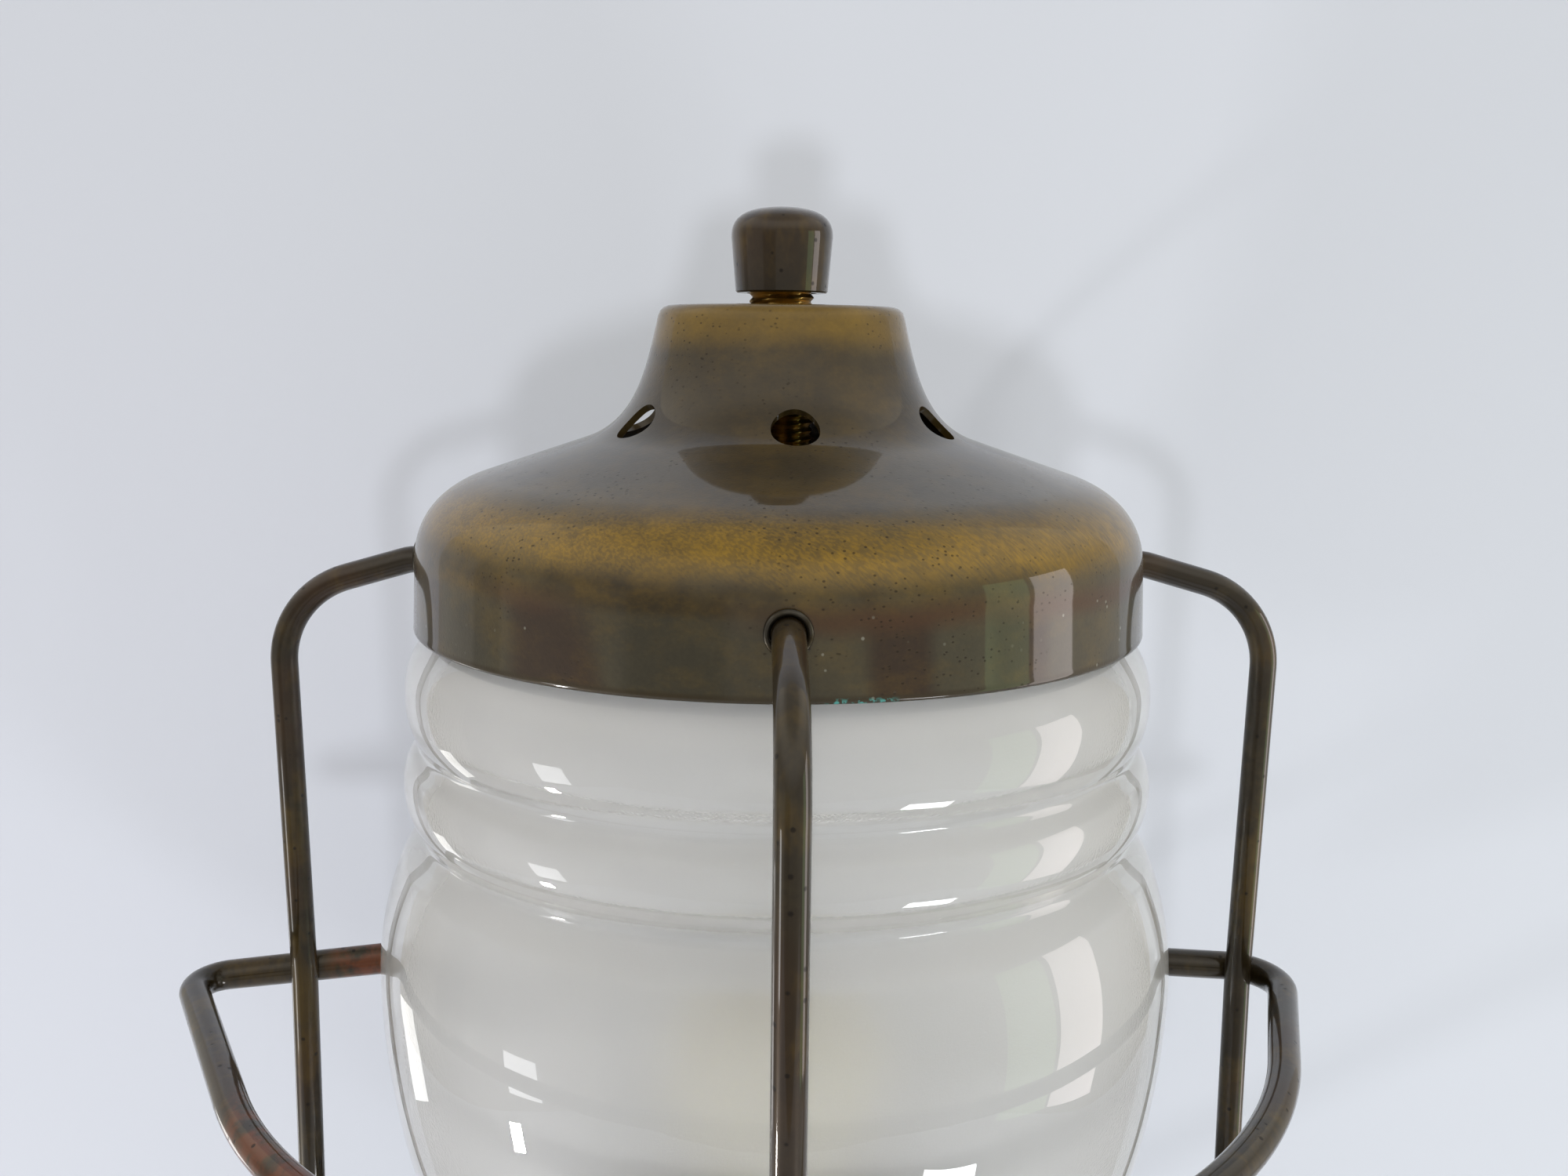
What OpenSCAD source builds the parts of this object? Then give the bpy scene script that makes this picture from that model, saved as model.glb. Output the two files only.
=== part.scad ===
// Ship's pattern wall lantern in patinated brass: a spun cap with a screw knob, four bowed guard rods
// and a front guard hoop round a ringed barrel glass, lifted as one off a tray on a bent wall arm.
// Millimetres, Z up. The origin is the middle of the wall rose's back face and the wall is the plane y = 0.
// Lantern heights are measured from the plane of the cap's lower rim, rim_height above the origin.

/* [Cap] */
// Radius of the cap's lower rim
cap_rim_r = 67; // [64:0.5:72]
// Height of the cap from its rim to its flat top
cap_h = 57.6; // [55:0.2:64]
// Radius of the flat top
cap_top_r = 22.5; // [20:0.5:25]
// Height of the straight band above the rim
cap_band_h = 12; // [11:0.5:14]
// How much wider the band is at the rim than at its top
cap_band_flare = 0.5; // [0:0.1:0.8]
// Height of the rounded shoulder above the band
cap_shoulder_h = 15.2; // [14:0.2:17]
// Width of the rounded shoulder
cap_shoulder_w = 12.1; // [10:0.5:14]
// Radius at which the neck runs out into the shallow cone
cap_neck_foot_r = 36; // [33:0.5:38]
// Fall of the shallow cone between the neck and the shoulder
cap_cone_fall = 6.4; // [5:0.2:7.5]
// Thickness of the spun brass of cap, base cup and tray
sheet_t = 1.2; // [0.9:0.1:1.4]
// Diameter of the vent holes in the neck
vent_d = 8.2; // [6:0.2:9]
// Number of vent holes
vent_count = 6; // [4:1:7]
// Place of the vent holes along the neck's curve
vent_place = 0.75; // [0.68:0.01:0.78]

/* [Knob and stud] */
// Diameter of the knob at its widest
knob_d = 18.4; // [17:0.2:22]
// Diameter of the knob at its foot
knob_foot_d = 16.8; // [16:0.2:17.4]
// Height of the knob
knob_h = 15.2; // [14:0.2:20]
// Gap between the cap and the knob, in which the stud shows
knob_gap = 2.4; // [1.5:0.1:5]
// Diameter of the threaded stud
stud_d = 12; // [10:0.5:12.5]
// Length of the stud below the cap's flat top
stud_drop = 40; // [38:0.5:42]
// Width across the flats of the stud's nuts
stud_nut_af = 18; // [17:0.5:20]
// Thickness of the stud's nuts
stud_nut_t = 5; // [4:0.5:6]
// Radius of the heat baffle
baffle_r = 36; // [30:0.5:40]
// Number of air holes in the baffle
baffle_holes = 6; // [4:1:8]

/* [Glass] */
// Largest radius of the glass
glass_r = 75; // [73:0.5:78]
// Depth of the glass's widest place below the rim
glass_equator = 64; // [60:0.5:68]
// Half height of the upper part of the barrel
barrel_up = 62.6; // [60:0.2:66]
// Half height of the lower part of the barrel
barrel_down = 105; // [102:0.5:112]
// Radius of the upper ring
ring1_r = 69; // [68:0.1:70]
// Depth of the upper ring below the rim
ring1_z = 11.5; // [11:0.1:12]
// Depth of the groove between the rings
groove_z = 20.6; // [20:0.1:21.4]
// Radius in the groove between the rings
groove_r = 66.3; // [66:0.1:67]
// Radius of the lower ring
ring2_r = 69.7; // [69:0.1:71]
// Depth of the lower ring below the rim
ring2_z = 27.6; // [27:0.1:28.4]
// Depth of the groove between the lower ring and the barrel
waist_z = 36.7; // [36:0.1:38]
// How far that groove cuts into the barrel's own curve
waist_dip = 1.5; // [1:0.1:1.8]
// Thickness of the glass
glass_t = 2.3; // [2:0.1:3]
// Height of the glass's upper edge above the cap's rim
glass_rise = 3.4; // [3:0.1:3.8]
// Thickness of the cork gaskets
gasket_t = 1; // [0.8:0.1:1.2]

/* [Guard] */
// Diameter of the guard rods
rod_d = 5; // [4:0.1:5.4]
// Radius from the axis at which the rods stand upright
guard_r = 93.5; // [90:0.5:98]
// How far the rods are drawn in where the hoop meets them
guard_waist = 1; // [0:0.1:1.4]
// Height of the upper ends of the rods above the rim
rod_rise = 10.5; // [10.2:0.1:11.5]
// Distance between the upper and lower ends of the rods
guard_h = 168.5; // [167:0.5:174]
// Slope of the rods where they leave the cap, in degrees
rod_slope = 16; // [12:0.5:20]
// Bend radius of the rods, on their centre line
rod_bend_r = 17; // [15:0.5:19]
// Diameter of the hoop's wire
hoop_d = 5.6; // [5:0.1:6]
// Radius of the hoop's front arc, on its centre line
hoop_r = 97.4; // [96:0.1:97.4]
// Depth of the hoop below the rim
hoop_drop = 73; // [70:0.5:76]
// Gap between the glass and the ends of the hoop
hoop_gap = 0.7; // [0.5:0.1:1.5]

/* [Base cup and tray] */
// Radius of the base cup
cup_r = 54; // [53:0.5:57]
// Depth of the cup's skirt below the lower ends of the rods
skirt_h = 26; // [25:0.5:30]
// Height of the gallery that rings the foot of the glass
gallery_h = 4; // [3:0.5:5]
// Radius of the opening in the cup's floor
cup_mouth_r = 36; // [32:0.5:38]
// Width of the tray's flange beyond the skirt
tray_lip = 3; // [2:0.5:5]
// Diameter of the air holes in the tray
tray_hole_d = 8; // [5:0.5:9]
// Diameter of the thumb screw heads
thumb_d = 10; // [8:0.5:12]
// Thread diameter of the thumb screws
thumb_thread = 4; // [3:0.5:5]

/* [Bulb and lampholder] */
// Diameter of the bulb
bulb_d = 45; // [40:0.5:50]
// Length of the bulb with its cap
bulb_len = 78; // [75:0.5:82]
// Diameter of the bulb's screw cap
bulb_cap_d = 13.9; // [13.8:0.05:14]
// Diameter of the lampholder
holder_d = 26; // [24:0.5:30]

/* [Arm and rose] */
// Distance from the wall to the lantern's axis
lamp_reach = 112; // [108:0.5:130]
// Height of the cap's rim above the middle of the rose
rim_height = 240; // [240:0.5:260]
// Diameter of the arm tube
arm_d = 12; // [12:0.5:14]
// Wall of the arm tube
arm_wall = 1; // [0.8:0.1:1.4]
// Bend radius of the arm, on its centre line
arm_bend_r = 25; // [22:0.5:28]
// Radius of the wall rose
rose_r = 50; // [48:0.5:60]
// Height of the rose above the wall
rose_h = 26; // [25:0.5:32]
// Radius of the rose's dome where it meets the flange
rose_dome_r = 36; // [35:0.5:38]
// Thickness of the rose's metal
rose_t = 1.5; // [1.2:0.1:2]
// Circle on which the rose's screw holes lie
screw_pcd = 86; // [85:0.5:88]
// Diameter of the rose's screw holes
screw_hole_d = 4.5; // [4:0.1:5]
// Diameter of the lead inside the arm
lead_d = 5; // [4:0.1:6]

/* [Hidden] */

$fn = 96;

// Clearances: a turning fit, a pushed fit, and the gap between parts that only pass each other
run_gap = 0.05;
seat_gap = 0.02;
pass_gap = 0.3;
// Small overshoot of a cutting solid past the face that it opens
past = 1;
// How far a wire's bend reaches into its straight stretches, and how much smaller its radius is there
wire_lap = 0.3;
wire_step = 0.02;
// How sharply the rings of the glass fall into their grooves
lobe_power = 2.4;

// Colours of the finishes
bronze = "#5b4c36";
brass = "#b8923a";
clear = "#dfe5e6";
cream = "#efe9d2";
porcelain = "#ece9e0";
cork = "#9a7448";
steel = "#a9adb0";
ivory = "#e8e2cc";

// Point on a cubic curve with the four points c, at t from 0 to 1
function bezier(c, t) =
  pow(1 - t, 3) * c[0] + 3 * t * pow(1 - t, 2) * c[1] + 3 * t * t * (1 - t) * c[2] + pow(t, 3) * c[3];
// Rising half of a ring on the glass, from radius r0 at height z0 to its crest r1 at z1
function lobe(r0, r1, z0, z1, n) =
  [for (i = [n : -1 : 0]) [r1 - (r1 - r0) * pow(i / n, lobe_power), z1 + (z0 - z1) * i / n]];
// Falling half of a ring, from its crest r0 at z0 into the groove r1 at z1, without the crest itself
function groove(r0, r1, z0, z1, n) =
  [for (i = [1 : n]) [r0 - (r0 - r1) * pow(i / n, lobe_power), z0 + (z1 - z0) * i / n]];
// Direction of an outline at its point i, and the outline moved inwards by t with its two ends kept level
function run(p, i) = let (a = p[max(i - 1, 0)], b = p[min(i + 1, len(p) - 1)]) (b - a) / norm(b - a);
function inset_point(p, i, t) =
  let (d = run(p, i)) p[i] + t * [d[1], -d[0]];
function inset(p, t) = [for (i = [0 : len(p) - 1])
  i == 0 || i == len(p) - 1 ? [inset_point(p, i, t)[0], p[i][1]] : inset_point(p, i, t)];
function reversed(p) = [for (i = [len(p) - 1 : -1 : 0]) p[i]];
// Heading of a stretch of wire, the turn between two stretches, and how much of each the bend takes
function heading(a, b) = atan2(b[1] - a[1], b[0] - a[0]);
function wrapped(a) = a > 180 ? a - 360 : a < -180 ? a + 360 : a;
function turn(p, i) = wrapped(heading(p[i], p[i + 1]) - heading(p[i - 1], p[i]));
function taken(p, bends, i) = i == 0 || i == len(p) - 1 ? 0 : bends[i] * tan(abs(turn(p, i)) / 2);

// Cap outline: the flat top's rounded edge, the neck's hollow curve, the cone, the shoulder and the band
cap_edge_r = 2.2;
neck_lean = 13;
cone_tilt = atan(cap_cone_fall / (cap_rim_r - cap_shoulder_w - cap_neck_foot_r));
cone_end = [cap_rim_r - cap_shoulder_w, cap_band_h + cap_shoulder_h];
neck_end = [cap_neck_foot_r, cone_end[1] + cap_cone_fall];
edge_centre = [cap_top_r - cap_edge_r, cap_h - cap_edge_r];
neck_start = edge_centre + cap_edge_r * [cos(neck_lean), sin(neck_lean)];
neck_pull = 0.45 * (neck_start[1] - neck_end[1]);
neck_curve = [
  neck_start,
  neck_start + neck_pull * [sin(neck_lean), -cos(neck_lean)],
  neck_end - neck_pull * [cos(cone_tilt), -sin(cone_tilt)],
  neck_end
];
band_top = [cap_rim_r - cap_band_flare, cap_band_h];
shoulder_pull = cap_shoulder_h / 2;
shoulder_curve = [
  cone_end,
  cone_end + shoulder_pull * [cos(cone_tilt), -sin(cone_tilt)],
  band_top + shoulder_pull * [0, 1],
  band_top
];
cap_line = concat(
  [[stud_d / 2 + pass_gap, cap_h]],
  [for (a = [90 : -19 : neck_lean]) edge_centre + cap_edge_r * [cos(a), sin(a)]],
  [for (i = [1 : 12]) bezier(neck_curve, i / 12)],
  [cone_end],
  [for (i = [1 : 9]) bezier(shoulder_curve, i / 9)],
  [[cap_rim_r, 0]]
);
// Slope of the neck at the vent holes, which are drilled square to it
vent_spot = bezier(neck_curve, vent_place);
vent_run = bezier(neck_curve, vent_place + 0.02) - bezier(neck_curve, vent_place - 0.02);
vent_tilt = atan2(vent_run[0], -vent_run[1]);
vent_turn = 3.5;

// Stud, nuts and baffle, from the top down
washer_t = 1;
washer_z = cap_h - sheet_t - washer_t;
stud_foot = cap_h - stud_drop - past;
baffle_t = 1;
baffle_hole_d = 7;
baffle_hole_r = 0.65 * baffle_r;
baffle_z = stud_foot + past + stud_nut_t;
knob_z = cap_h + knob_gap;
knob_widest = 0.64 * knob_h;
knob_bore_h = knob_h - 3.8;

// Glass outline: a plain upper edge, two rings with a groove between them, and the barrel
edge_r = cap_rim_r - 5;
waist_r = glass_r * sqrt(1 - pow((glass_equator - waist_z) / barrel_up, 2)) - waist_dip;
glass_foot = rod_rise - guard_h + 11;
foot_lean = asin((glass_equator + glass_foot) / -barrel_down);
glass_line = concat(
  [[edge_r, glass_rise]],
  lobe(edge_r + 0.5, ring1_r, 1, -ring1_z, 6),
  groove(ring1_r, groove_r, -ring1_z, -groove_z, 4),
  lobe(groove_r, ring2_r, -groove_z, -ring2_z, 4),
  groove(ring2_r, waist_r, -ring2_z, -waist_z, 4),
  [for (i = [1 : 5]) let (z = waist_z + (glass_equator - waist_z) * i / 5)
    [glass_r * sqrt(1 - pow((glass_equator - z) / barrel_up, 2)), -z]],
  [for (i = [1 : 12]) let (a = foot_lean * i / 12)
    [glass_r * cos(a), -glass_equator - barrel_down * sin(a)]]
);
glass_foot_r = glass_r * cos(foot_lean);

// Upper seat of the glass inside the cap
seat_t = 1.2;
seat_z = glass_rise + gasket_t;
seat_r = cap_rim_r - cap_band_flare - sheet_t - run_gap;
seat_mouth_r = edge_r - glass_t - 3;

// Guard rods: the threaded ends go square through the band and take a nut inside it
lower_z = rod_rise - guard_h;
rod_nut_af = 8;
rod_nut_t = 3.5;
rod_end_t = 0.8;
cap_nut_r = cap_rim_r - cap_band_flare - sheet_t - 0.6;
cup_nut_r = cup_r - sheet_t - 0.2;
bead_d = 1.1;
rod_kink_out = 2;
rod_kink_r = 6;
function rod_fall(r_from, r_to) = (r_to - r_from) * tan(rod_slope);
cap_kink_r = cap_rim_r + rod_kink_out;
cup_kink_r = cup_r + rod_kink_out;
hoop_z = -hoop_drop;
rod_line = [
  [cap_nut_r - rod_nut_t - rod_end_t, rod_rise],
  [cap_kink_r, rod_rise],
  [guard_r, rod_rise - rod_fall(cap_kink_r, guard_r)],
  [guard_r - guard_waist, hoop_z],
  [guard_r, lower_z + rod_fall(cup_kink_r, guard_r)],
  [cup_kink_r, lower_z],
  [cup_nut_r - rod_nut_t - rod_end_t, lower_z]
];
rod_waist_bend_r = 60;
rod_bends = [0, rod_kink_r, rod_bend_r, rod_waist_bend_r, rod_bend_r, rod_kink_r, 0];

// Guard hoop, seen from above with the front at -y: two end bars behind the side rods, two corners and
// an arc that lies on the outside of the front rod. The left corner stands out further than the right one.
side_rod_r = guard_r - guard_waist;
touch = (rod_d + hoop_d) / 2;
left_sweep = 14.7;
right_sweep = 7.9;
left_overhang = 22.3;
right_overhang = 10.5;
left_lean = 28;
right_lean = 19.9;
function bar_y(x, sweep) = touch / cos(sweep) - (x - side_rod_r) * tan(sweep);
hoop_end_r = sqrt(1 - pow((glass_equator - hoop_drop) / barrel_down, 2)) * glass_r + hoop_gap + hoop_d / 12;
left_reach = side_rod_r + left_overhang;
right_reach = side_rod_r + right_overhang;
left_corner = [-left_reach, bar_y(left_reach, left_sweep)];
right_corner = [right_reach, bar_y(right_reach, right_sweep)];
hoop_front = -(side_rod_r + touch);
left_shoulder_x = left_corner[0] + (left_corner[1] - hoop_front) * tan(left_lean);
right_shoulder_x = right_corner[0] - (right_corner[1] - hoop_front) * tan(right_lean);
hoop_line = [
  [-hoop_end_r, bar_y(hoop_end_r, left_sweep)],
  left_corner,
  [left_shoulder_x, hoop_front],
  [right_shoulder_x, hoop_front],
  right_corner,
  [hoop_end_r, bar_y(hoop_end_r, right_sweep)]
];
left_bend_r = 6;
right_bend_r = 9.5;
hoop_bends = [0, left_bend_r, hoop_r, hoop_r, right_bend_r, 0];

// Base cup, with the gallery round the foot of the glass
gallery_z = glass_foot - gasket_t;
gallery_r = glass_r * sqrt(1 - pow((-gallery_z - gallery_h - glass_equator) / barrel_down, 2)) + 0.8;
cup_edge_r = min(4, cup_r - gallery_r - sheet_t);
skirt_z = lower_z - skirt_h;
tray_r = cup_r - sheet_t - 0.4;
tray_rim_z = lower_z - rod_nut_af / 2 - 4.5;
tray_t = 1.5;
tray_hole_r = (cup_mouth_r + 24) / 2;

// Thumb screws in bosses on the skirt, the first one at the front
thumb_count = 3;
thumb_z = lower_z - rod_nut_af / 2 - 13.5;
boss_r = cup_r + 4;
boss_d = 9;
thumb_tip_r = tray_r + pass_gap;
thumb_head_r = boss_r + 3;
thumb_head_t = 6;

// Bulb and lampholder, from the bulb's top down
bulb_top = -69;
bulb_z = bulb_top - bulb_d / 2;
bulb_tip = bulb_top - bulb_len;
bulb_cap_h = 20;
bulb_tip_h = 6;
bulb_seam = bulb_tip + bulb_tip_h + bulb_cap_h;
bulb_neck_r = bulb_cap_d / 2 + 1;
bulb_wall = 0.8;
holder_top = bulb_seam - 2.5;
holder_floor = bulb_tip - 5;
holder_floor_t = 6;
holder_bore_r = bulb_cap_d / 2 + 1.3;
holder_foot = skirt_z + 7;
holder_base_t = 3;
shell_t = 0.6;

// Nipple and arm head under the tray
nipple_r = 5;
nipple_bore_r = 3.5;
nipple_up = holder_foot;
head_h = 13.5;
nipple_down = skirt_z - tray_t - head_h;
tray_nut_t = 3.5;
tray_nut_af = 14;
head_r = 16;
sleeve_r = arm_d / 2 + 2.5;
sleeve_h = 9;

// Arm and rose
rose_nut_t = 4;
rose_nut_af = arm_d + 6;
arm_end = lamp_reach - (rose_h - rose_t - rose_nut_t - 1);
arm_line = [[0, nipple_down], [0, -rim_height], [arm_end, -rim_height]];
arm_bends = [0, arm_bend_r, 0];
collar_h = 5;
strap_l = 2 * (rose_dome_r - rose_t) - 1.4;
strap_w = 12;
strap_t = 2;
block_h = rose_h - rose_t - rose_nut_t - 6;
block_w = 18;
block_d = 14;
terminal_x = 6;
terminal_r = 1.8;
terminal_t = 1.2;

// Earth tag under its screw, on the strap
earth_x = -22;
earth_tag_r = 4.5;
earth_tag_t = 0.8;
earth_thread_r = 2;
earth_head_r = 3.5;
earth_head_t = 2.2;

// Round wire along the flat line p, with the radius bends[i] at its corner i. Each bend is a hair thinner
// than the straight stretches and reaches a little way into them, so that the wire is one body.
module wire(p, bends, d) {
  for (i = [0 : len(p) - 2]) {
    translate([p[i][0], p[i][1], 0])
      rotate([0, 0, heading(p[i], p[i + 1])])
        translate([taken(p, bends, i), 0, 0])
          rotate([0, 90, 0])
            cylinder(h = norm(p[i + 1] - p[i]) - taken(p, bends, i) - taken(p, bends, i + 1), d = d);
  }
  for (i = [1 : len(p) - 2]) {
    side = sign(turn(p, i));
    lap = wire_lap / bends[i] * 180 / PI;
    translate([p[i][0], p[i][1], 0])
      rotate([0, 0, heading(p[i - 1], p[i])])
        translate([-taken(p, bends, i), side * bends[i], 0])
          rotate([0, 0, (side > 0 ? -90 : 90 + turn(p, i)) - lap])
            rotate_extrude(angle = abs(turn(p, i)) + 2 * lap)
              translate([bends[i], 0])
                circle(d = d - 2 * wire_step);
  }
}

// Hexagonal nut with its lower face at the origin
module hex_nut(af, t, bore_r) {
  difference() {
    cylinder(h = t, d = af / cos(30), $fn = 6);
    translate([0, 0, -past])
      cylinder(h = t + 2 * past, r = bore_r);
  }
}

// Flat ring with its lower face at the origin
module ring(r_out, r_in, t) {
  difference() {
    cylinder(h = t, r = r_out);
    translate([0, 0, -past])
      cylinder(h = t + 2 * past, r = r_in);
  }
}

// Lantern frame: the rim plane is z = 0 and the lantern's axis is the z axis
module on_lamp() {
  translate([0, -lamp_reach, rim_height])
    children();
}

// A piece drawn outwards along +x, turned to the azimuth a: 0 is the front, 90 the right
module towards(a, z = 0) {
  rotate([0, 0, a - 90])
    translate([0, 0, z])
      children();
}

// A piece drawn upwards along +z, laid down so that it points outwards along +x
module outwards(r) {
  translate([r, 0, 0])
    rotate([0, 90, 0])
      children();
}

// Rose frame: heights above the wall are z, and the rose's axis is the z axis
module on_wall() {
  rotate([90, 0, 0])
    children();
}

module cap_shell() {
  color(bronze) on_lamp()
    difference() {
      rotate_extrude()
        polygon(concat(
          [[cap_line[0][0], cap_h]],
          [for (i = [1 : len(cap_line) - 1]) cap_line[i]],
          reversed([for (i = [1 : len(cap_line) - 1]) inset(cap_line, sheet_t)[i]]),
          [[cap_line[0][0], cap_h - sheet_t]]
        ));
      for (i = [0 : vent_count - 1])
        towards(vent_turn + 360 * i / vent_count)
          translate([vent_spot[0], 0, vent_spot[1]])
            rotate([0, 90 - vent_tilt, 0])
              translate([0, 0, -8])
                cylinder(h = 16, d = vent_d);
      for (a = [0 : 90 : 270])
        towards(a, rod_rise)
          outwards(cap_rim_r / 2)
            cylinder(h = cap_rim_r, d = rod_d + 2 * seat_gap);
    }
}

module cap_knob() {
  crown = [
    [knob_d / 2, knob_widest],
    [knob_d / 2 + 0.2, knob_h - 1.4],
    [knob_d / 3, knob_h],
    [0, knob_h]
  ];
  color(bronze) on_lamp() translate([0, 0, knob_z])
    difference() {
      rotate_extrude()
        polygon(concat(
          [[0, 0], [knob_foot_d / 2 - 0.3, 0], [knob_foot_d / 2, 0.3]],
          [for (i = [0 : 10]) bezier(crown, i / 10)]
        ));
      translate([0, 0, -past])
        cylinder(h = knob_bore_h + past, r = stud_d / 2 + run_gap);
    }
}

module cap_stud() {
  color(brass) on_lamp() translate([0, 0, stud_foot])
    cylinder(h = knob_z + knob_bore_h - 1.5 - stud_foot, d = stud_d);
}

module stud_washer() {
  color(brass) on_lamp() translate([0, 0, washer_z])
    ring(stud_nut_af / 2 + 2, stud_d / 2 + seat_gap, washer_t);
}

module stud_nuts() {
  color(brass) on_lamp()
    for (z = [washer_z - stud_nut_t, baffle_z + baffle_t, baffle_z - stud_nut_t])
      translate([0, 0, z])
        hex_nut(stud_nut_af, stud_nut_t, stud_d / 2 + seat_gap);
}

module heat_baffle() {
  color(brass) on_lamp() translate([0, 0, baffle_z])
    difference() {
      ring(baffle_r, stud_d / 2 + seat_gap, baffle_t);
      for (i = [0 : baffle_holes - 1])
        rotate([0, 0, 360 * (i + 0.5) / baffle_holes])
          translate([baffle_hole_r, 0, -past])
            cylinder(h = baffle_t + 2 * past, d = baffle_hole_d);
    }
}

module glass_seat_ring() {
  color(brass) on_lamp() translate([0, 0, seat_z])
    ring(seat_r, seat_mouth_r, seat_t);
}

module upper_gasket() {
  color(cork) on_lamp() translate([0, 0, glass_rise])
    ring(edge_r + 2, edge_r - glass_t - 1, gasket_t);
}

module glass_shade() {
  color(clear, 0.5) on_lamp()
    rotate_extrude()
      polygon(concat(glass_line, reversed(inset(glass_line, glass_t))));
}

module lower_gasket() {
  color(cork) on_lamp() translate([0, 0, gallery_z])
    ring(glass_foot_r + 1.5, glass_foot_r - glass_t - 3, gasket_t);
}

module guard_rod(a) {
  color(bronze) on_lamp() towards(a)
    rotate([90, 0, 0])
      wire(rod_line, rod_bends, rod_d);
}

module guard_rod_front() { guard_rod(0); }

module guard_rod_right() { guard_rod(90); }

module guard_rod_back() { guard_rod(180); }

module guard_rod_left() { guard_rod(270); }

module guard_hoop() {
  color(bronze) on_lamp()
    difference() {
      translate([0, 0, hoop_z])
        wire(hoop_line, hoop_bends, hoop_d);
      for (a = [270, 0, 90])
        towards(a, hoop_z)
          translate([side_rod_r, 0, -hoop_d])
            cylinder(h = 2 * hoop_d, d = rod_d + 2 * run_gap);
    }
}

// Rolled bead that hides the hole where a rod enters the cap or the cup
module rod_bead(r) {
  outwards(r + bead_d / 2 + run_gap)
    rotate_extrude()
      translate([(rod_d + bead_d) / 2 + run_gap, 0])
        circle(d = bead_d, $fn = 32);
}

module rod_beads() {
  color(steel) on_lamp()
    for (a = [0 : 90 : 270]) {
      towards(a, rod_rise)
        rod_bead(cap_rim_r - cap_band_flare / 2);
      towards(a, lower_z)
        rod_bead(cup_r);
    }
}

module rod_nuts() {
  color(brass) on_lamp()
    for (a = [0 : 90 : 270]) {
      towards(a, rod_rise)
        outwards(cap_nut_r - rod_nut_t)
          rotate([0, 0, 30])
            hex_nut(rod_nut_af, rod_nut_t, rod_d / 2 + seat_gap);
      towards(a, lower_z)
        outwards(cup_nut_r - rod_nut_t)
          rotate([0, 0, 30])
            hex_nut(rod_nut_af, rod_nut_t, rod_d / 2 + seat_gap);
    }
}

module base_cup() {
  inner_edge_r = max(cup_edge_r - sheet_t, 0.2);
  edge = [cup_r - cup_edge_r, gallery_z - cup_edge_r];
  inner = [cup_r - sheet_t - inner_edge_r, gallery_z - sheet_t - inner_edge_r];
  color(bronze) on_lamp()
    difference() {
      rotate_extrude()
        polygon(concat(
          [[cup_mouth_r, gallery_z - sheet_t], [cup_mouth_r, gallery_z], [gallery_r, gallery_z]],
          [[gallery_r, gallery_z + gallery_h], [gallery_r + sheet_t, gallery_z + gallery_h]],
          [[gallery_r + sheet_t, gallery_z]],
          [for (a = [90 : -15 : 0]) edge + cup_edge_r * [cos(a), sin(a)]],
          [[cup_r, skirt_z], [cup_r - sheet_t, skirt_z]],
          [for (a = [0 : 15 : 90]) inner + inner_edge_r * [cos(a), sin(a)]]
        ));
      for (a = [0 : 90 : 270])
        towards(a, lower_z)
          outwards(cup_mouth_r)
            cylinder(h = cup_r, d = rod_d + 2 * seat_gap);
      for (i = [0 : thumb_count - 1])
        towards(360 * i / thumb_count, thumb_z)
          outwards(cup_mouth_r)
            cylinder(h = cup_r, d = thumb_thread + 2 * pass_gap);
    }
}

module screw_bosses() {
  color(bronze) on_lamp()
    for (i = [0 : thumb_count - 1])
      towards(360 * i / thumb_count, thumb_z)
        difference() {
          outwards(cup_r - 1)
            cylinder(h = boss_r - cup_r + 1, d = boss_d);
          translate([0, 0, -boss_d])
            cylinder(h = 2 * boss_d, r = cup_r + seat_gap);
          outwards(cup_r - past - 1)
            cylinder(h = boss_r - cup_r + 2 * past + 1, d = thumb_thread + 2 * run_gap);
        }
}

// Knurled thumb screw whose tip bears on the tray's wall
module thumb_screw(i) {
  color(brass) on_lamp() towards(360 * i / thumb_count, thumb_z) {
    outwards(thumb_tip_r)
      cylinder(h = thumb_head_r - thumb_tip_r, d = thumb_thread);
    outwards(thumb_head_r)
      cylinder(h = thumb_head_t, d = thumb_d);
  }
}

module thumb_screw_front() { thumb_screw(0); }

module thumb_screw_right() { thumb_screw(1); }

module thumb_screw_left() { thumb_screw(2); }

module tray() {
  color(bronze) on_lamp()
    difference() {
      rotate_extrude()
        polygon([
          [nipple_r + seat_gap, skirt_z - tray_t],
          [cup_r + tray_lip, skirt_z - tray_t],
          [cup_r + tray_lip, skirt_z],
          [tray_r, skirt_z],
          [tray_r, tray_rim_z],
          [tray_r - sheet_t, tray_rim_z],
          [tray_r - sheet_t, skirt_z],
          [nipple_r + seat_gap, skirt_z]
        ]);
      for (a = [45 : 90 : 315])
        towards(a, skirt_z - tray_t - past)
          translate([tray_hole_r, 0, 0])
            cylinder(h = tray_t + 2 * past, d = tray_hole_d);
    }
}

module tray_nipple() {
  color(brass) on_lamp() translate([0, 0, nipple_down])
    ring(nipple_r, nipple_bore_r, nipple_up - nipple_down);
}

module tray_nut() {
  color(brass) on_lamp() translate([0, 0, skirt_z])
    hex_nut(tray_nut_af, tray_nut_t, nipple_r + seat_gap);
}

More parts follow.
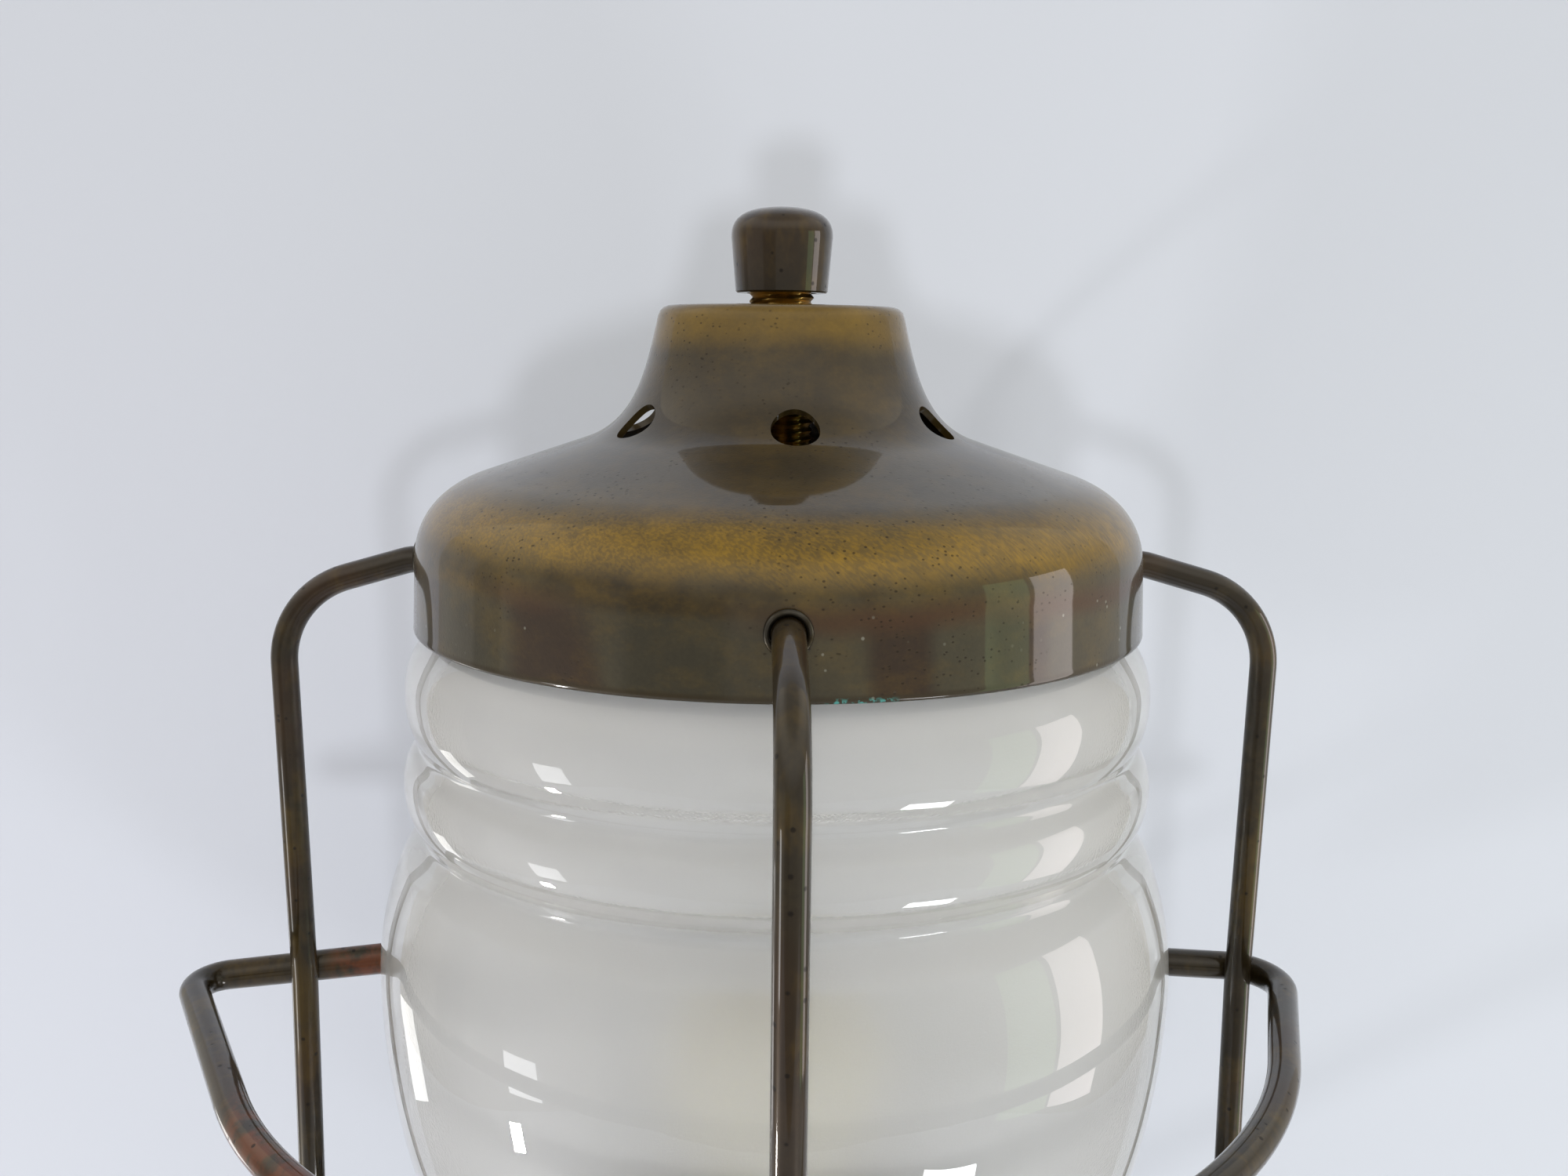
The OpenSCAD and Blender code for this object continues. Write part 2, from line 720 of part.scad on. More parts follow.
// Turned head between the arm and the tray
module arm_head() {
  top = skirt_z - tray_t;
  color(bronze) on_lamp()
    rotate_extrude()
      polygon(concat(
        [[nipple_r + seat_gap, top], [head_r, top], [head_r, top - 3]],
        [for (i = [0 : 6]) let (a = 15 * i)
          [sleeve_r + (head_r - 1 - sleeve_r) * (1 - sin(a)), top - 3 - (head_h - 5) * (1 - cos(a))]],
        [[sleeve_r, nipple_down - sleeve_h], [arm_d / 2 + seat_gap, nipple_down - sleeve_h]],
        [[arm_d / 2 + seat_gap, nipple_down], [nipple_r + seat_gap, nipple_down]]
      ));
}

module lampholder_base() {
  color(steel) on_lamp() translate([0, 0, holder_foot - holder_base_t])
    ring(holder_d / 2, nipple_r + seat_gap, holder_base_t);
}

module lampholder_body() {
  color(porcelain) on_lamp()
    rotate_extrude()
      polygon([
        [holder_d / 2, holder_foot],
        [holder_d / 2, holder_top - 4],
        [holder_d / 2 + 1.5, holder_top - 3],
        [holder_d / 2 + 1.5, holder_top - 1],
        [holder_d / 2, holder_top],
        [holder_bore_r, holder_top],
        [holder_bore_r, holder_floor],
        [lead_d / 4, holder_floor],
        [lead_d / 4, holder_floor - holder_floor_t],
        [holder_d / 2 - 3, holder_floor - holder_floor_t],
        [holder_d / 2 - 3, holder_foot]
      ]);
}

module lampholder_shell() {
  color(brass) on_lamp() translate([0, 0, holder_floor])
    ring(holder_bore_r - pass_gap, holder_bore_r - pass_gap - shell_t, holder_top - 2 - holder_floor);
}

module lampholder_contact() {
  color(brass) on_lamp() translate([0, 0, holder_floor])
    cylinder(h = bulb_tip - pass_gap - holder_floor, r = 3);
}

module bulb_glass() {
  globe = [for (i = [0 : 16]) let (a = 90 - 8.75 * i) [bulb_d / 2 * cos(a), bulb_z + bulb_d / 2 * sin(a)]];
  foot = globe[16];
  neck = [foot, foot + 5 * [-cos(40), -sin(50)], [bulb_neck_r, bulb_seam + 6], [bulb_neck_r, bulb_seam]];
  line = concat(globe, [for (i = [1 : 6]) bezier(neck, i / 6)]);
  inside = inset(line, bulb_wall);
  color(cream) on_lamp()
    rotate_extrude()
      polygon(concat(
        line,
        reversed([for (i = [1 : len(line) - 1]) inside[i]]),
        [[0, bulb_z + bulb_d / 2 - bulb_wall]]
      ));
}

module bulb_cap() {
  color(brass) on_lamp() translate([0, 0, bulb_tip + bulb_tip_h])
    cylinder(h = bulb_cap_h, d = bulb_cap_d);
}

module bulb_contact() {
  color(steel) on_lamp() translate([0, 0, bulb_tip])
    cylinder(h = bulb_tip_h, r = 2.5);
}

module wall_arm() {
  reach_up = [0, past];
  reach_back = [past, 0];
  color(bronze) on_lamp() rotate([90, 0, 90])
    difference() {
      wire(arm_line, arm_bends, arm_d);
      wire(
        [arm_line[0] + reach_up, arm_line[1], arm_line[2] + reach_back],
        arm_bends,
        arm_d - 2 * arm_wall
      );
    }
}

module arm_collar() {
  r = arm_d / 2 + seat_gap;
  color(bronze) on_wall()
    rotate_extrude()
      polygon(concat(
        [[r, rose_h], [r + 5, rose_h]],
        [for (a = [-60 : 20 : 60]) [r + 4 + 1.5 * cos(a), rose_h + collar_h / 2 + 1.7 * sin(a)]],
        [[r + 3, rose_h + collar_h], [r, rose_h + collar_h]]
      ));
}

module arm_locknut() {
  color(brass) on_wall() translate([0, 0, rose_h - rose_t - rose_nut_t])
    hex_nut(rose_nut_af, rose_nut_t, arm_d / 2 + seat_gap);
}

module wall_rose() {
  flange_t = 2;
  top_r = arm_d / 2 + 7;
  rise = rose_h - flange_t;
  dome = [for (i = [0 : 9]) let (a = 10 * i)
    [top_r + (rose_dome_r - top_r) * cos(a), flange_t + rise * sin(a)]];
  hollow = [for (i = [0 : 9]) let (a = 10 * i)
    [top_r + (rose_dome_r - rose_t - top_r) * cos(a), flange_t + (rise - rose_t) * sin(a)]];
  color(bronze) on_wall()
    difference() {
      rotate_extrude()
        polygon(concat(
          [[rose_dome_r - rose_t, 0], [rose_r, 0], [rose_r, flange_t - 0.5], [rose_r - 0.5, flange_t]],
          dome,
          [[arm_d / 2 + seat_gap, rose_h], [arm_d / 2 + seat_gap, rose_h - rose_t]],
          reversed(hollow)
        ));
      for (a = [90, 210, 330])
        rotate([0, 0, a])
          translate([screw_pcd / 2, 0, -past])
            cylinder(h = flange_t + 2 * past, d = screw_hole_d);
    }
}

module rose_strap() {
  color(steel) on_wall() translate([-strap_l / 2, -strap_w / 2, 0])
    cube([strap_l, strap_w, strap_t]);
}

module terminal_block() {
  color(ivory) on_wall() translate([-block_w / 2, -block_d / 2, strap_t])
    cube([block_w, block_d, block_h - strap_t]);
}

module terminal_screws() {
  color(steel) on_wall()
    for (x = [-terminal_x, terminal_x])
      translate([x, 0, block_h])
        cylinder(h = terminal_t, r = terminal_r);
}

module earth_tag() {
  color(brass) on_wall() translate([earth_x, 0, strap_t])
    ring(earth_tag_r, earth_thread_r + seat_gap, earth_tag_t);
}

module earth_screw() {
  color(brass) on_wall() translate([earth_x, 0, strap_t]) {
    cylinder(h = earth_tag_t + past, r = earth_thread_r);
    translate([0, 0, earth_tag_t])
      cylinder(h = earth_head_t, r = earth_head_r);
  }
}

// Lead held inside the arm, from the lampholder's floor to the terminal block
module lamp_lead() {
  line = [[0, holder_floor - holder_floor_t], [0, -rim_height], [lamp_reach - block_h, -rim_height]];
  color(ivory) on_lamp() rotate([90, 0, 90])
    wire(line, arm_bends, lead_d);
}

cap_shell();
cap_knob();
cap_stud();
stud_washer();
stud_nuts();
heat_baffle();
glass_seat_ring();
upper_gasket();
glass_shade();
lower_gasket();
guard_rod_front();
guard_rod_right();
guard_rod_back();
guard_rod_left();
guard_hoop();
rod_beads();
rod_nuts();
base_cup();
screw_bosses();
thumb_screw_front();
thumb_screw_right();
thumb_screw_left();
tray();
tray_nipple();
tray_nut();
arm_head();
lampholder_base();
lampholder_body();
lampholder_shell();
lampholder_contact();
bulb_glass();
bulb_cap();
bulb_contact();
wall_arm();
arm_collar();
arm_locknut();
wall_rose();
rose_strap();
terminal_block();
terminal_screws();
earth_screw();
earth_tag();
lamp_lead();
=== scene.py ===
"""Dresses the packed wall lantern: turned, spun and bent brass, ringed glass, a bulb and a pale room."""

import math

import bmesh
import bpy
import numpy as np
from bpy.props import FloatProperty, FloatVectorProperty, IntProperty, PointerProperty
from mathutils import Matrix, Vector


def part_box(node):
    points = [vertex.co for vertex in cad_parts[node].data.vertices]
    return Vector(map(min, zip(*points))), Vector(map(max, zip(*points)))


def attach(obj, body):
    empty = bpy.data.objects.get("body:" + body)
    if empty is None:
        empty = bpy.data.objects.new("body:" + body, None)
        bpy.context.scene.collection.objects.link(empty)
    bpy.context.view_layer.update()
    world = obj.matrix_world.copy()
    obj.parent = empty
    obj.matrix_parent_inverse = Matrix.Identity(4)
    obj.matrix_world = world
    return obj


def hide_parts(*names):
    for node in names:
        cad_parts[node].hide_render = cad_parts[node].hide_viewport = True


bl_info = {
    "name": "Caged wall lantern",
    "version": (1, 0, 0),
    "blender": (4, 5, 0),
    "location": "View3D > Sidebar > Lantern",
    "description": "Smooth surfaces and finishes for a caged brass wall lantern",
    "category": "Add Mesh",
}

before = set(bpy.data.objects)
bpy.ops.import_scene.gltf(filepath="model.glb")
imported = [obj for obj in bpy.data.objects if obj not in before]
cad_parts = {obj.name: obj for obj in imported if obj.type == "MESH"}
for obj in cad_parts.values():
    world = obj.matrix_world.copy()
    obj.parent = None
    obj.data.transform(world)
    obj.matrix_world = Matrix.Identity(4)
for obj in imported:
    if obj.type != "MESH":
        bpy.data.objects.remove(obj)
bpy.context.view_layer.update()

MM = 0.001
TURN = 2 * math.pi
WELD = 0.004 * MM
# Edges sharper than this many degrees stay sharp
CREASE = 38.0
# Play between a stud, rod or tube and the nut or sleeve on it
FIT = 0.02 * MM

# The lantern's own origin: the middle of the cap's rim plane, found from the cap's box
CAP_LOW, CAP_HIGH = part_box("cap_shell")
ORIGIN = np.array([(CAP_LOW.x + CAP_HIGH.x) / 2, (CAP_LOW.y + CAP_HIGH.y) / 2, CAP_LOW.z])
RIM_RADIUS = (CAP_HIGH.x - CAP_LOW.x) / 2
CAP_HEIGHT = CAP_HIGH.z - CAP_LOW.z
REACH = -ORIGIN[1]
RISE = ORIGIN[2]

# A frame is (its x, y and z axes as rows, its origin)
UPRIGHT = (np.eye(3), ORIGIN)
# On the wall, heights run away from it along the frame's z
ON_WALL = (np.array([[1.0, 0, 0], [0, 0, 1], [0, -1, 0]]), np.zeros(3))
# In the arm's plane, x runs to the wall and y is up
ARM_PLANE = (np.array([[0.0, 1, 0], [0, 0, 1], [1, 0, 0]]), ORIGIN)

# Colours of marks and small parts that the sidebar leaves alone
PANEL_BROWN = (0.026, 0.011, 0.004, 1)
# The next colour is painted shade for the cap's inner face
INNER_SHADE_BROWN = (0.018, 0.008, 0.003, 1)
PIT_DARK = (0.018, 0.012, 0.006, 1)
ROD_PIT_DARK = (0.014, 0.010, 0.007, 1)
SPECK_PALE = (0.30, 0.30, 0.25, 1)
BEAD_GREY = (0.075, 0.07, 0.06, 1)
GLASS_CLEAR = (0.988, 0.990, 0.988, 1)
GLASS_DIM = (0.975, 0.978, 0.974, 1)
GRAIN_BROWN = (0.12, 0.06, 0.025, 1)
FLECK_BROWN = (0.22, 0.17, 0.12, 1)
ROOM_GLOW = (1.0, 0.955, 0.875, 1)

# Heights above the cap's rim, in millimetres, between which its patina changes
BAND_TOP = (13.5, 11.5)
SEAM = (11.2, 14.6)
BELT = (18.4, 25.6)
NECK = (28.0, 49.5)
CROWN = (50.5, 58.2)
RIM_EDGE = (1.6, 0.8)

# From the lantern's own origin: where verdigris lies across the rim, and where heat has tinted the hoop
GREEN_ACROSS = (6 * MM, 15.5 * MM)
HEAT_ACROSS = (-88 * MM, -69 * MM)
HEAT_HEIGHT = (-80 * MM, -66 * MM)

# The wall's reach from the rose's middle, the opening in it behind the rose, and the floor
WALL_LEFT, WALL_RIGHT, WALL_FOOT, WALL_TOP = -0.26, 0.27, -0.45, 0.75
OPENING = 49 * MM
FLOOR_HEIGHT, FLOOR_HALF = -1.6, 3.0

# Each lamp's azimuth and elevation in degrees, its distance, width and height in metres, and its colour
LAMPS = {
    "key": (-75, -33, 1.5, 0.09, 0.10, (1.0, 0.98, 0.95)),
    "pane": (-69, -20, 1.5, 0.26, 0.30, (0.97, 0.98, 1.0)),
    "side": (-121, -26, 1.5, 0.26, 0.30, (1.0, 0.99, 0.97)),
    "fill": (48, -38, 1.5, 0.34, 0.16, (0.97, 0.98, 1.0)),
    "daylight": (-2.6, -5, 0.9, 0.07, 0.07, (1.0, 1.0, 1.0)),
    "window": (85.5, -6, 1.3, 0.38, 1.1, (1.0, 0.91, 0.90)),
    "garden": (67.5, -6, 1.3, 0.36, 1.1, (0.62, 1.0, 0.48)),
}
# What the lamps face
AIM = ORIGIN - [0, 0, 60 * MM]

# The camera's focal length and sensor width in millimetres, how many degrees it is turned to the right,
# downwards and about its own axis, and its place
LENS, SENSOR = 32.5, 36
YAW, PITCH, ROLL = (math.radians(angle) for angle in (1.455, 9.85, 0.6))
EYE = ORIGIN + np.array([-5.7, -263.5, 51.2]) * MM


class LanternCap(bpy.types.PropertyGroup):
    """Sizes of the cap, the knob and the stud"""

    rim_radius: FloatProperty(
        name="Rim radius", description="Radius of the cap's lower rim",
        default=RIM_RADIUS, unit="LENGTH")
    height: FloatProperty(
        name="Height", description="Height of the cap above its rim", default=CAP_HEIGHT, unit="LENGTH")
    top_radius: FloatProperty(
        name="Top radius", description="Radius of the flat top", default=22.5 * MM, unit="LENGTH")
    band_height: FloatProperty(
        name="Band height", description="Height of the straight band", default=12 * MM, unit="LENGTH")
    band_flare: FloatProperty(
        name="Band flare", description="How much wider the band is at the rim",
        default=0.5 * MM, unit="LENGTH")
    shoulder_height: FloatProperty(
        name="Shoulder height", description="Height of the rounded shoulder",
        default=15.2 * MM, unit="LENGTH")
    shoulder_width: FloatProperty(
        name="Shoulder width", description="Width of the rounded shoulder",
        default=12.1 * MM, unit="LENGTH")
    neck_foot: FloatProperty(
        name="Neck foot", description="Radius where the neck meets the cone",
        default=36 * MM, unit="LENGTH")
    cone_fall: FloatProperty(
        name="Cone fall", description="Fall of the shallow cone", default=6.4 * MM, unit="LENGTH")
    sheet: FloatProperty(
        name="Sheet", description="Thickness of the spun metal", default=1.2 * MM, unit="LENGTH")
    vent: FloatProperty(
        name="Vent holes", description="Diameter of the vent holes", default=8.2 * MM, unit="LENGTH")
    vents: IntProperty(name="Vents", description="Number of vent holes", default=6)
    vent_place: FloatProperty(
        name="Vent place", description="Place of the vents along the neck's curve",
        default=0.75, min=0.1, max=0.9)
    knob: FloatProperty(
        name="Knob", description="Diameter of the knob at its widest", default=18.4 * MM, unit="LENGTH")
    knob_foot: FloatProperty(
        name="Knob foot", description="Diameter of the knob at its foot",
        default=16.8 * MM, unit="LENGTH")
    stud: FloatProperty(
        name="Stud", description="Diameter of the threaded stud", default=12 * MM, unit="LENGTH")
    stud_nut: FloatProperty(
        name="Stud nut", description="Width across the stud nuts' flats",
        default=18 * MM, unit="LENGTH")
    pitch: FloatProperty(
        name="Pitch", description="Pitch of the stud's thread", default=1.5 * MM, unit="LENGTH")


class LanternGlass(bpy.types.PropertyGroup):
    """Sizes of the glass shade"""

    radius: FloatProperty(
        name="Radius", description="Largest radius of the glass", default=75 * MM, unit="LENGTH")
    equator: FloatProperty(
        name="Equator", description="Depth of the widest place below the rim",
        default=64 * MM, unit="LENGTH")
    barrel_up: FloatProperty(
        name="Barrel up", description="Half height of the upper part", default=62.6 * MM, unit="LENGTH")
    barrel_down: FloatProperty(
        name="Barrel down", description="Half height of the lower part",
        default=105 * MM, unit="LENGTH")
    upper_ring: FloatVectorProperty(
        name="Upper ring", description="Radius and depth of the upper ring", size=2, unit="LENGTH",
        default=(69 * MM, 11.5 * MM))
    groove: FloatVectorProperty(
        name="Groove", description="Radius and depth of the groove between the rings",
        size=2, unit="LENGTH", default=(66.3 * MM, 20.6 * MM))
    lower_ring: FloatVectorProperty(
        name="Lower ring", description="Radius and depth of the lower ring", size=2, unit="LENGTH",
        default=(69.7 * MM, 27.6 * MM))
    waist: FloatProperty(
        name="Waist", description="Depth of the groove above the barrel",
        default=36.7 * MM, unit="LENGTH")
    waist_dip: FloatProperty(
        name="Waist dip", description="How far it cuts into the barrel's curve",
        default=1.5 * MM, unit="LENGTH")
    foot: FloatProperty(
        name="Foot", description="Depth of the glass's lower edge", default=147 * MM, unit="LENGTH")
    edge_inset: FloatProperty(
        name="Edge inset", description="How far its upper edge lies inside the rim",
        default=5 * MM, unit="LENGTH")
    edge_rise: FloatProperty(
        name="Edge rise", description="Height of its upper edge above the rim",
        default=3.4 * MM, unit="LENGTH")
    ring_power: FloatProperty(
        name="Ring sharpness", description="How sharply the rings fall into their grooves", default=2.4)
    thickness: FloatProperty(
        name="Thickness", description="Thickness of the glass", default=2.3 * MM, unit="LENGTH")
    ripple: FloatProperty(
        name="Ripple", description="How much deeper the grooves are on the inner face", default=0.8)
    frost: FloatProperty(
        name="Frost", description="Roughness of the etched inner face", default=0.36, min=0, max=1)


class LanternGuard(bpy.types.PropertyGroup):
    """Sizes of the guard rods and the hoop"""

    rod: FloatProperty(
        name="Rod", description="Diameter of the guard rods", default=5 * MM, unit="LENGTH")
    radius: FloatProperty(
        name="Radius", description="Radius at which the rods stand upright",
        default=93.5 * MM, unit="LENGTH")
    waist: FloatProperty(
        name="Waist", description="How far the hoop draws the rods in", default=1 * MM, unit="LENGTH")
    slope: FloatProperty(
        name="Slope", description="Slope of the rods at the cap",
        default=math.radians(16), subtype="ANGLE")
    rise: FloatProperty(
        name="Rise", description="Height of the rods' upper ends", default=10.5 * MM, unit="LENGTH")
    length: FloatProperty(
        name="Length", description="Distance between the rods' ends", default=168.5 * MM, unit="LENGTH")
    bend: FloatProperty(
        name="Bend", description="Bend radius of the rods", default=17 * MM, unit="LENGTH")
    wire: FloatProperty(
        name="Hoop wire", description="Diameter of the hoop's wire", default=5.6 * MM, unit="LENGTH")
    hoop_drop: FloatProperty(
        name="Hoop drop", description="Depth of the hoop below the rim", default=73 * MM, unit="LENGTH")
    left_overhang: FloatProperty(
        name="Left overhang", description="How far the hoop reaches beyond the left rod",
        default=22.3 * MM, unit="LENGTH")
    right_overhang: FloatProperty(
        name="Right overhang", description="How far the hoop reaches beyond the right rod",
        default=10.5 * MM, unit="LENGTH")
    flattening: FloatProperty(
        name="Flattening", description="How much taller the left bar's end is", default=0.14)


class LanternBase(bpy.types.PropertyGroup):
    """Sizes of the base cup, the tray, the bulb and the lampholder"""

    cup_radius: FloatProperty(
        name="Cup radius", description="Radius of the base cup", default=54 * MM, unit="LENGTH")
    cup_top: FloatProperty(
        name="Cup top", description="Depth of the cup's floor below the rim",
        default=148 * MM, unit="LENGTH")
    cup_foot: FloatProperty(
        name="Cup foot", description="Depth of the skirt's edge below the rim",
        default=184 * MM, unit="LENGTH")
    screw_depth: FloatProperty(
        name="Screw depth", description="Depth of the thumb screws", default=175.5 * MM, unit="LENGTH")
    screw_head: FloatProperty(
        name="Screw head", description="Diameter of the thumb screw heads",
        default=10 * MM, unit="LENGTH")
    bulb: FloatProperty(
        name="Bulb", description="Diameter of the bulb", default=45 * MM, unit="LENGTH")
    bulb_top: FloatProperty(
        name="Bulb top", description="Depth of the bulb's top below the rim",
        default=69 * MM, unit="LENGTH")
    bulb_length: FloatProperty(
        name="Bulb length", description="Length of the bulb with its cap",
        default=78 * MM, unit="LENGTH")


class LanternArm(bpy.types.PropertyGroup):
    """Sizes of the arm and the wall rose"""

    arm: FloatProperty(
        name="Arm", description="Diameter of the arm tube", default=12 * MM, unit="LENGTH")
    bend: FloatProperty(
        name="Bend", description="Bend radius of the arm", default=25 * MM, unit="LENGTH")
    rose_radius: FloatProperty(
        name="Rose radius", description="Radius of the wall rose", default=50 * MM, unit="LENGTH")
    rose_height: FloatProperty(
        name="Rose height", description="Height of the rose above the wall",
        default=26 * MM, unit="LENGTH")
    dome_radius: FloatProperty(
        name="Dome radius", description="Radius of the dome at its foot",
        default=36 * MM, unit="LENGTH")
    screw_circle: FloatProperty(
        name="Screw circle", description="Circle of the rose's screw holes",
        default=86 * MM, unit="LENGTH")


class LanternFinish(bpy.types.PropertyGroup):
    """Colours of the finishes"""

    umber: FloatVectorProperty(
        name="Umber", description="Darkest patina", subtype="COLOR", size=4,
        default=(0.030, 0.020, 0.007, 1))
    olive: FloatVectorProperty(
        name="Olive", description="Olive grey patina", subtype="COLOR", size=4,
        default=(0.074, 0.053, 0.019, 1))
    slate: FloatVectorProperty(
        name="Slate", description="Blue grey bloom in the patina", subtype="COLOR", size=4,
        default=(0.050, 0.050, 0.036, 1))
    russet: FloatVectorProperty(
        name="Russet", description="Red brown patina", subtype="COLOR", size=4,
        default=(0.060, 0.025, 0.007, 1))
    gold: FloatVectorProperty(
        name="Gold", description="Brass showing through the patina", subtype="COLOR", size=4,
        default=(0.250, 0.145, 0.006, 1))
    brass: FloatVectorProperty(
        name="Brass", description="Bare turned brass", subtype="COLOR", size=4,
        default=(0.56, 0.37, 0.13, 1))
    verdigris: FloatVectorProperty(
        name="Verdigris", description="Green specks at the rim", subtype="COLOR", size=4,
        default=(0.08, 0.34, 0.31, 1))
    copper: FloatVectorProperty(
        name="Copper", description="Heat tint beside a joint", subtype="COLOR", size=4,
        default=(0.24, 0.060, 0.012, 1))
    opal: FloatVectorProperty(
        name="Opal", description="Cream of the bulb", subtype="COLOR", size=4,
        default=(0.95, 0.93, 0.79, 1))
    porcelain: FloatVectorProperty(
        name="Porcelain", description="White of the lampholder", subtype="COLOR", size=4,
        default=(0.80, 0.77, 0.69, 1))
    cork: FloatVectorProperty(
        name="Cork", description="Colour of the gaskets", subtype="COLOR", size=4,
        default=(0.33, 0.19, 0.085, 1))
    zinc: FloatVectorProperty(
        name="Zinc", description="Plated steel", subtype="COLOR", size=4,
        default=(0.52, 0.54, 0.56, 1))
    ivory: FloatVectorProperty(
        name="Ivory", description="Moulded block and lead", subtype="COLOR", size=4,
        default=(0.74, 0.69, 0.52, 1))


class LanternRoom(bpy.types.PropertyGroup):
    """The wall, the floor and the light"""

    wall: FloatVectorProperty(
        name="Wall", description="Colour of wall and floor", subtype="COLOR", size=4,
        default=(0.715, 0.755, 0.855, 1))
    overhead: FloatProperty(
        name="Overhead", description="Radiance of the room overhead", default=1.06)
    around: FloatProperty(
        name="Around", description="Radiance of the room below", default=0.32)
    front: FloatProperty(
        name="Front", description="Radiance of the room in front", default=0.24)
    key: FloatProperty(
        name="Key", description="Power of the light from the lower left", default=6.0)
    fill: FloatProperty(
        name="Fill", description="Power of the light from the lower right", default=3.5)
    daylight: FloatProperty(
        name="Daylight", description="Power of the light that throws the shadow", default=1.6)
    window: FloatProperty(
        name="Window", description="Power of the bright window at the side", default=3.8)
    pane: FloatProperty(
        name="Pane", description="Power of the pale pane at the left", default=1.3)
    side: FloatProperty(
        name="Side", description="Power of the light past the wall's end", default=0.7)
    garden: FloatProperty(
        name="Garden", description="Power of the green light beside it", default=1.1)


GROUPS = {
    "lantern_cap": LanternCap,
    "lantern_glass": LanternGlass,
    "lantern_guard": LanternGuard,
    "lantern_base": LanternBase,
    "lantern_arm": LanternArm,
    "lantern_finish": LanternFinish,
    "lantern_room": LanternRoom,
}


def bezier(a, b, c, d, count):
    """Cubic curve (1-t)^3 a + 3t(1-t)^2 b + 3t^2(1-t) c + t^3 d at count values of t from 0 to 1."""
    t = np.linspace(0, 1, count)[:, None]
    a, b, c, d = (np.asarray(p, float) for p in (a, b, c, d))
    return (1 - t) ** 3 * a + 3 * t * (1 - t) ** 2 * b + 3 * t * t * (1 - t) * c + t ** 3 * d


def arc(centre, radius, start, end, count):
    """Points centre + radius (cos a, sin a), a going from start to end in degrees."""
    a = np.radians(np.linspace(start, end, count))
    return np.asarray(centre, float) + radius * np.stack([np.cos(a), np.sin(a)], axis=1)


def rounded(points, radii, count=7):
    """A polyline whose corner i becomes the arc of radius radii[i] that touches both its sides. One number
    rounds every corner alike."""
    points = [np.asarray(p, float) for p in points]
    radii = np.broadcast_to(radii, len(points))
    out = [points[0][None]]
    for before, corner, after, radius in zip(points, points[1:], points[2:], radii[1:]):
        back = (before - corner) / np.linalg.norm(before - corner)
        on = (after - corner) / np.linalg.norm(after - corner)
        half = math.acos(np.clip(back @ on, -1, 1)) / 2
        if radius <= 0 or half > math.pi / 2 - 1e-3:
            out.append(corner[None])
            continue
        middle = (back + on) / np.linalg.norm(back + on)
        centre = corner + middle * radius / math.sin(half)
        first = corner + back * radius / math.tan(half) - centre
        last = corner + on * radius / math.tan(half) - centre
        sweep = math.pi - 2 * half
        s = np.linspace(0, 1, count)[:, None]
        out.append(centre + (np.sin((1 - s) * sweep) * first + np.sin(s * sweep) * last) / math.sin(sweep))
    out.append(points[-1][None])
    return np.concatenate(out)


def loop(points, radii):
    """Closed outline with rounded corners: the first point is the middle of the last side, so it stays."""
    start = (np.asarray(points[0], float) + np.asarray(points[-1], float)) / 2
    radii = np.broadcast_to(radii, len(points))
    return rounded([start, *points, start], [0, *radii, 0])[:-1]


def lengths(line):
    """Length along the line at each of its points."""
    return np.concatenate([[0], np.cumsum(np.linalg.norm(np.diff(line, axis=0), axis=1))])


def evenly(line, step):
    """The line at equal steps of its own length, each about step long."""
    s = lengths(line)
    t = np.linspace(0, s[-1], max(2, int(round(s[-1] / step)) + 1))
    return np.stack([np.interp(t, s, line[:, k]) for k in range(2)], axis=1)


def normals(line):
    """Unit vectors a quarter turn to the right of the line's direction at each of its points."""
    d = np.gradient(line, axis=0)
    d /= np.linalg.norm(d, axis=1)[:, None]
    return np.stack([d[:, 1], -d[:, 0]], axis=1)


def patch(grid, wrap_rows=False, wrap_columns=False):
    """Points and quads of a grid: each quad joins point (i, j) to the next row and the next column."""
    rows, columns = grid.shape[:2]
    index = np.arange(rows * columns).reshape(rows, columns)
    if wrap_rows:
        index = np.concatenate([index, index[:1]])
    if wrap_columns:
        index = np.concatenate([index, index[:, :1]], axis=1)
    quads = np.stack([index[:-1, :-1], index[1:, :-1], index[1:, 1:], index[:-1, 1:]], axis=-1)
    return grid.reshape(-1, 3), quads.reshape(-1, 4)


def spin(profile, where=UPRIGHT, segments=160, closed=False, shape=None):
    """Profile (radius, height) carried round an axis: (r cos a, r sin a, h), with r = shape(r, h, a) where
    the section isn't round. A closed profile joins its last point to its first."""
    a = np.linspace(0, TURN, segments, endpoint=False)
    r, h = profile[:, :1] + 0 * a, profile[:, 1:] + 0 * a
    if shape is not None:
        r = shape(r, h, a)
    grid = np.stack([r * np.cos(a), r * np.sin(a), h], axis=-1)
    axes, origin = where
    return patch(grid @ axes + origin, wrap_rows=closed, wrap_columns=True)


def thread(pitch, depth, low, high):
    """Shape of a screw thread between two heights: r less depth times a triangle wave of
    h / pitch - a / turn, fading out over one pitch at both ends and only near the full radius."""
    def shape(r, h, a):
        phase = (h / pitch - a / TURN) % 1
        wave = np.abs(2 * phase - 1)
        fade = np.clip((h - low) / pitch, 0, 1) * np.clip((high - h) / pitch, 0, 1)
        return np.where(r > r.max() * 0.97, r - depth * wave * fade, r)
    return shape


def hexagon(flats, bore):
    """Shape of a nut: outside its bore the radius is the least of the profile's own and flats / 2 / cos of
    the angle from the nearest flat's middle."""
    def shape(r, h, a):
        off = (a + math.pi / 6) % (math.pi / 3) - math.pi / 6
        return np.where(r > bore * 1.02, np.minimum(r, flats / 2 / np.cos(off)), r)
    return shape


